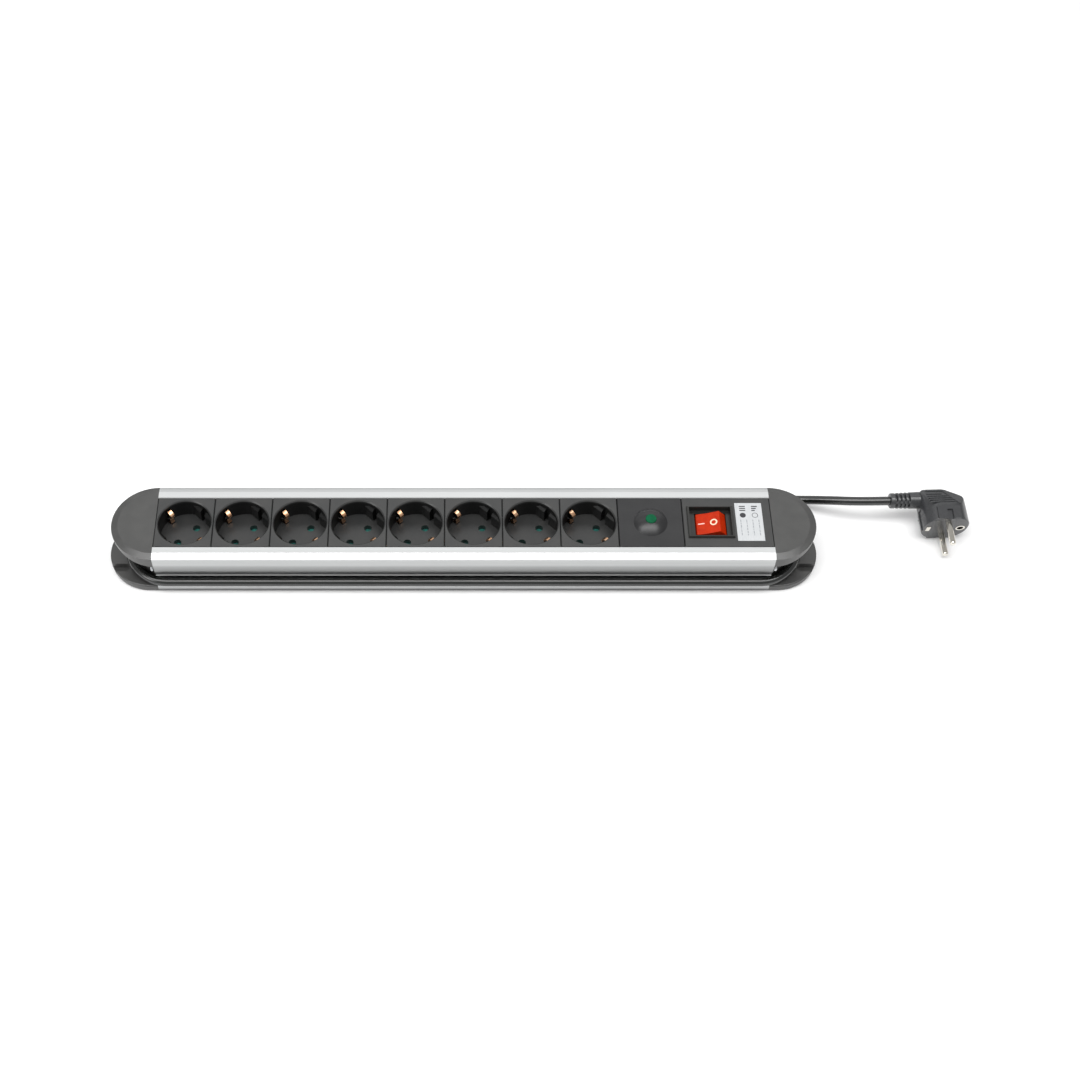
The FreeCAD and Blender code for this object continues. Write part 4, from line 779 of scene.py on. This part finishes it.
def build_rocker_marks():
    """A plain dash and a plain ring, let into the dished top."""
    proud = 0.07 * MM
    sunk = -0.1 * MM
    dash = bmesh.new()
    outline = rounded_bar(-2.5 * MM, 2.5 * MM, -0.5 * MM, 0.5 * MM, 0.3 * MM)
    add_slab(dash, outline, sunk, proud, dish_place(-5.2 * MM))
    add_object("rocker_dash", mesh_from(dash, "rocker_dash"), MARK_PINK, "rocker")
    ring = bmesh.new()
    add_ring(ring, 0, 0, 1.75 * MM, 2.85 * MM, sunk, proud, dish_place(4.3 * MM))
    add_object("rocker_ring", mesh_from(ring, "rocker_ring"), MARK_CREAM, "rocker")


# ---------------------------------------------------------------- print on the label
def build_label_print():
    """Plain blocks, dots and broken lines: no lettering."""
    top = LABEL_HIGH.z
    z0 = top - 0.02 * MM
    z1 = top + 0.02 * MM
    x_mid = (LABEL_LOW.x + LABEL_HIGH.x) / 2
    place = Matrix.Identity(4)

    def add_bar(bm, x0, x1, y0, y1, radius, steps=5):
        add_slab(bm, rounded_bar(x0, x1, y0, y1, radius, steps), z0, z1, place)

    half = 2.3 * MM
    marks = bmesh.new()
    left = x_mid - 4.6 * MM
    right = x_mid + 4.6 * MM
    y_top = LABEL_HIGH.y - 3.2 * MM
    for k in range(3):
        y = y_top - k * 1.9 * MM
        shorter = (2.3 - k) * MM
        add_bar(marks, left - half, left + half, y - 0.45 * MM, y + 0.45 * MM, 0.2 * MM)
        add_bar(marks, right - half, right + shorter, y - 0.5 * MM, y + 0.5 * MM, 0.2 * MM)
    y_dot = y_top - 8.3 * MM
    add_slab(marks, circle(left, y_dot, half), z0, z1, place)
    add_ring(marks, right, y_dot, 1.9 * MM, half, z0, z1, place)
    add_object("label_marks", mesh_from(marks, "label_marks"), PRINT_BLACK, "strip")
    lines = bmesh.new()
    word_lengths = (2.2, 1.2, 2.8, 0.8, 1.7, 2.4)
    for row in range(4):
        x = LABEL_LOW.x + (3.6 + 4.6 * row) * MM
        y = y_dot - 4.2 * MM
        for k in range(6):
            length = word_lengths[(k + 2 * row) % 6] * MM
            if y - length < LABEL_LOW.y + 1.5 * MM:
                break
            add_bar(lines, x - 0.28 * MM, x + 0.28 * MM, y - length, y, 0.1 * MM, 2)
            y -= length + 0.7 * MM
    add_object("label_lines", mesh_from(lines, "label_lines"), PRINT_GREY, "strip")


# ---------------------------------------------------------------- build
cord, cord_exit = build_cord()
boot = build_boot()
inlet_sleeve = build_inlet_sleeve()
plug = build_plug()
build_rocker_marks()
build_label_print()


# ---------------------------------------------------------------- floor, light and camera
FLOOR_HALF = 4.0
FLOOR_DROP = 0.1 * MM
WORLD_STRENGTH = 0.42
AIM_POINT = Vector((0.0, 0.0, 0.0))
SOFTBOXES = (                                   # name, place, length and width, watts
    ("softbox_over", (0.0, -0.12, 1.3), 1.9, 0.55, 17.0),
    ("softbox_front", (0.0, -0.55, 1.2), 1.9, 0.3, 2.8),
    ("softbox_back", (0.0, 0.85, 1.1), 2.2, 0.5, 3.2),
    ("softbox_low", (0.0, 1.3, 0.55), 2.4, 0.35, 2.0),
    ("softbox_left", (-1.2, -0.7, 0.75), 0.6, 0.6, 4.0),
)
CAMERA_PLACE = (-0.0023, -0.7688, 1.1049)
CAMERA_PITCH = math.radians(35.34)
CAMERA_SENSOR = 36.0
CAMERA_LENS = 57.41
CAMERA_SHIFT = 0.0735


def build_floor():
    """Pale painted floor, just under the object."""
    bm = bmesh.new()
    bmesh.ops.create_grid(bm, x_segments=8, y_segments=8, size=FLOOR_HALF)
    mesh = mesh_from(bm, "floor")
    bpy.data.materials.new("floor_paint")
    f = Finish("floor_paint", {"Specular IOR Level": 0.2})
    mottle = f.noise(60 * MM, EVEN, 4.0)
    f.feed("Base Color", f.blend(mottle, (0.95, 0.95, 0.95), (0.97, 0.97, 0.97)))
    f.feed("Roughness", f.ranged(mottle, 0.7, 0.8))
    mesh.materials.append(f.material)
    floor = bpy.data.objects.new("floor", mesh)
    floor.location.z = -FLOOR_DROP
    bpy.context.scene.collection.objects.link(floor)


def add_softbox(name, location, size_x, size_y, watts):
    """Rectangular area light that faces the aim point."""
    light = bpy.data.lights.new(name, "AREA")
    light.shape = "RECTANGLE"
    light.size = size_x
    light.size_y = size_y
    light.energy = watts
    lamp = bpy.data.objects.new(name, light)
    lamp.location = location
    aim = AIM_POINT - Vector(location)
    lamp.rotation_euler = aim.to_track_quat("-Z", "Y").to_euler()
    bpy.context.scene.collection.objects.link(lamp)


def build_light():
    """Even white surroundings and the softboxes."""
    world = bpy.data.worlds.new("studio")
    world.use_nodes = True
    background = world.node_tree.nodes["Background"]
    background.inputs["Color"].default_value = (1.0, 1.0, 1.0, 1.0)
    background.inputs["Strength"].default_value = WORLD_STRENGTH
    bpy.context.scene.world = world
    bpy.context.scene.view_settings.view_transform = "Standard"
    for softbox in SOFTBOXES:
        add_softbox(*softbox)


def build_camera():
    """Camera at the photograph's angle: in front of the strip and well above it."""
    data = bpy.data.cameras.new("camera")
    data.sensor_width = CAMERA_SENSOR
    data.lens = CAMERA_LENS
    data.shift_x = CAMERA_SHIFT
    data.clip_start = 0.01
    camera = bpy.data.objects.new("camera", data)
    camera.location = CAMERA_PLACE
    camera.rotation_euler = (CAMERA_PITCH, 0.0, 0.0)
    bpy.context.scene.collection.objects.link(camera)
    bpy.context.scene.camera = camera


build_floor()
build_light()
build_camera()
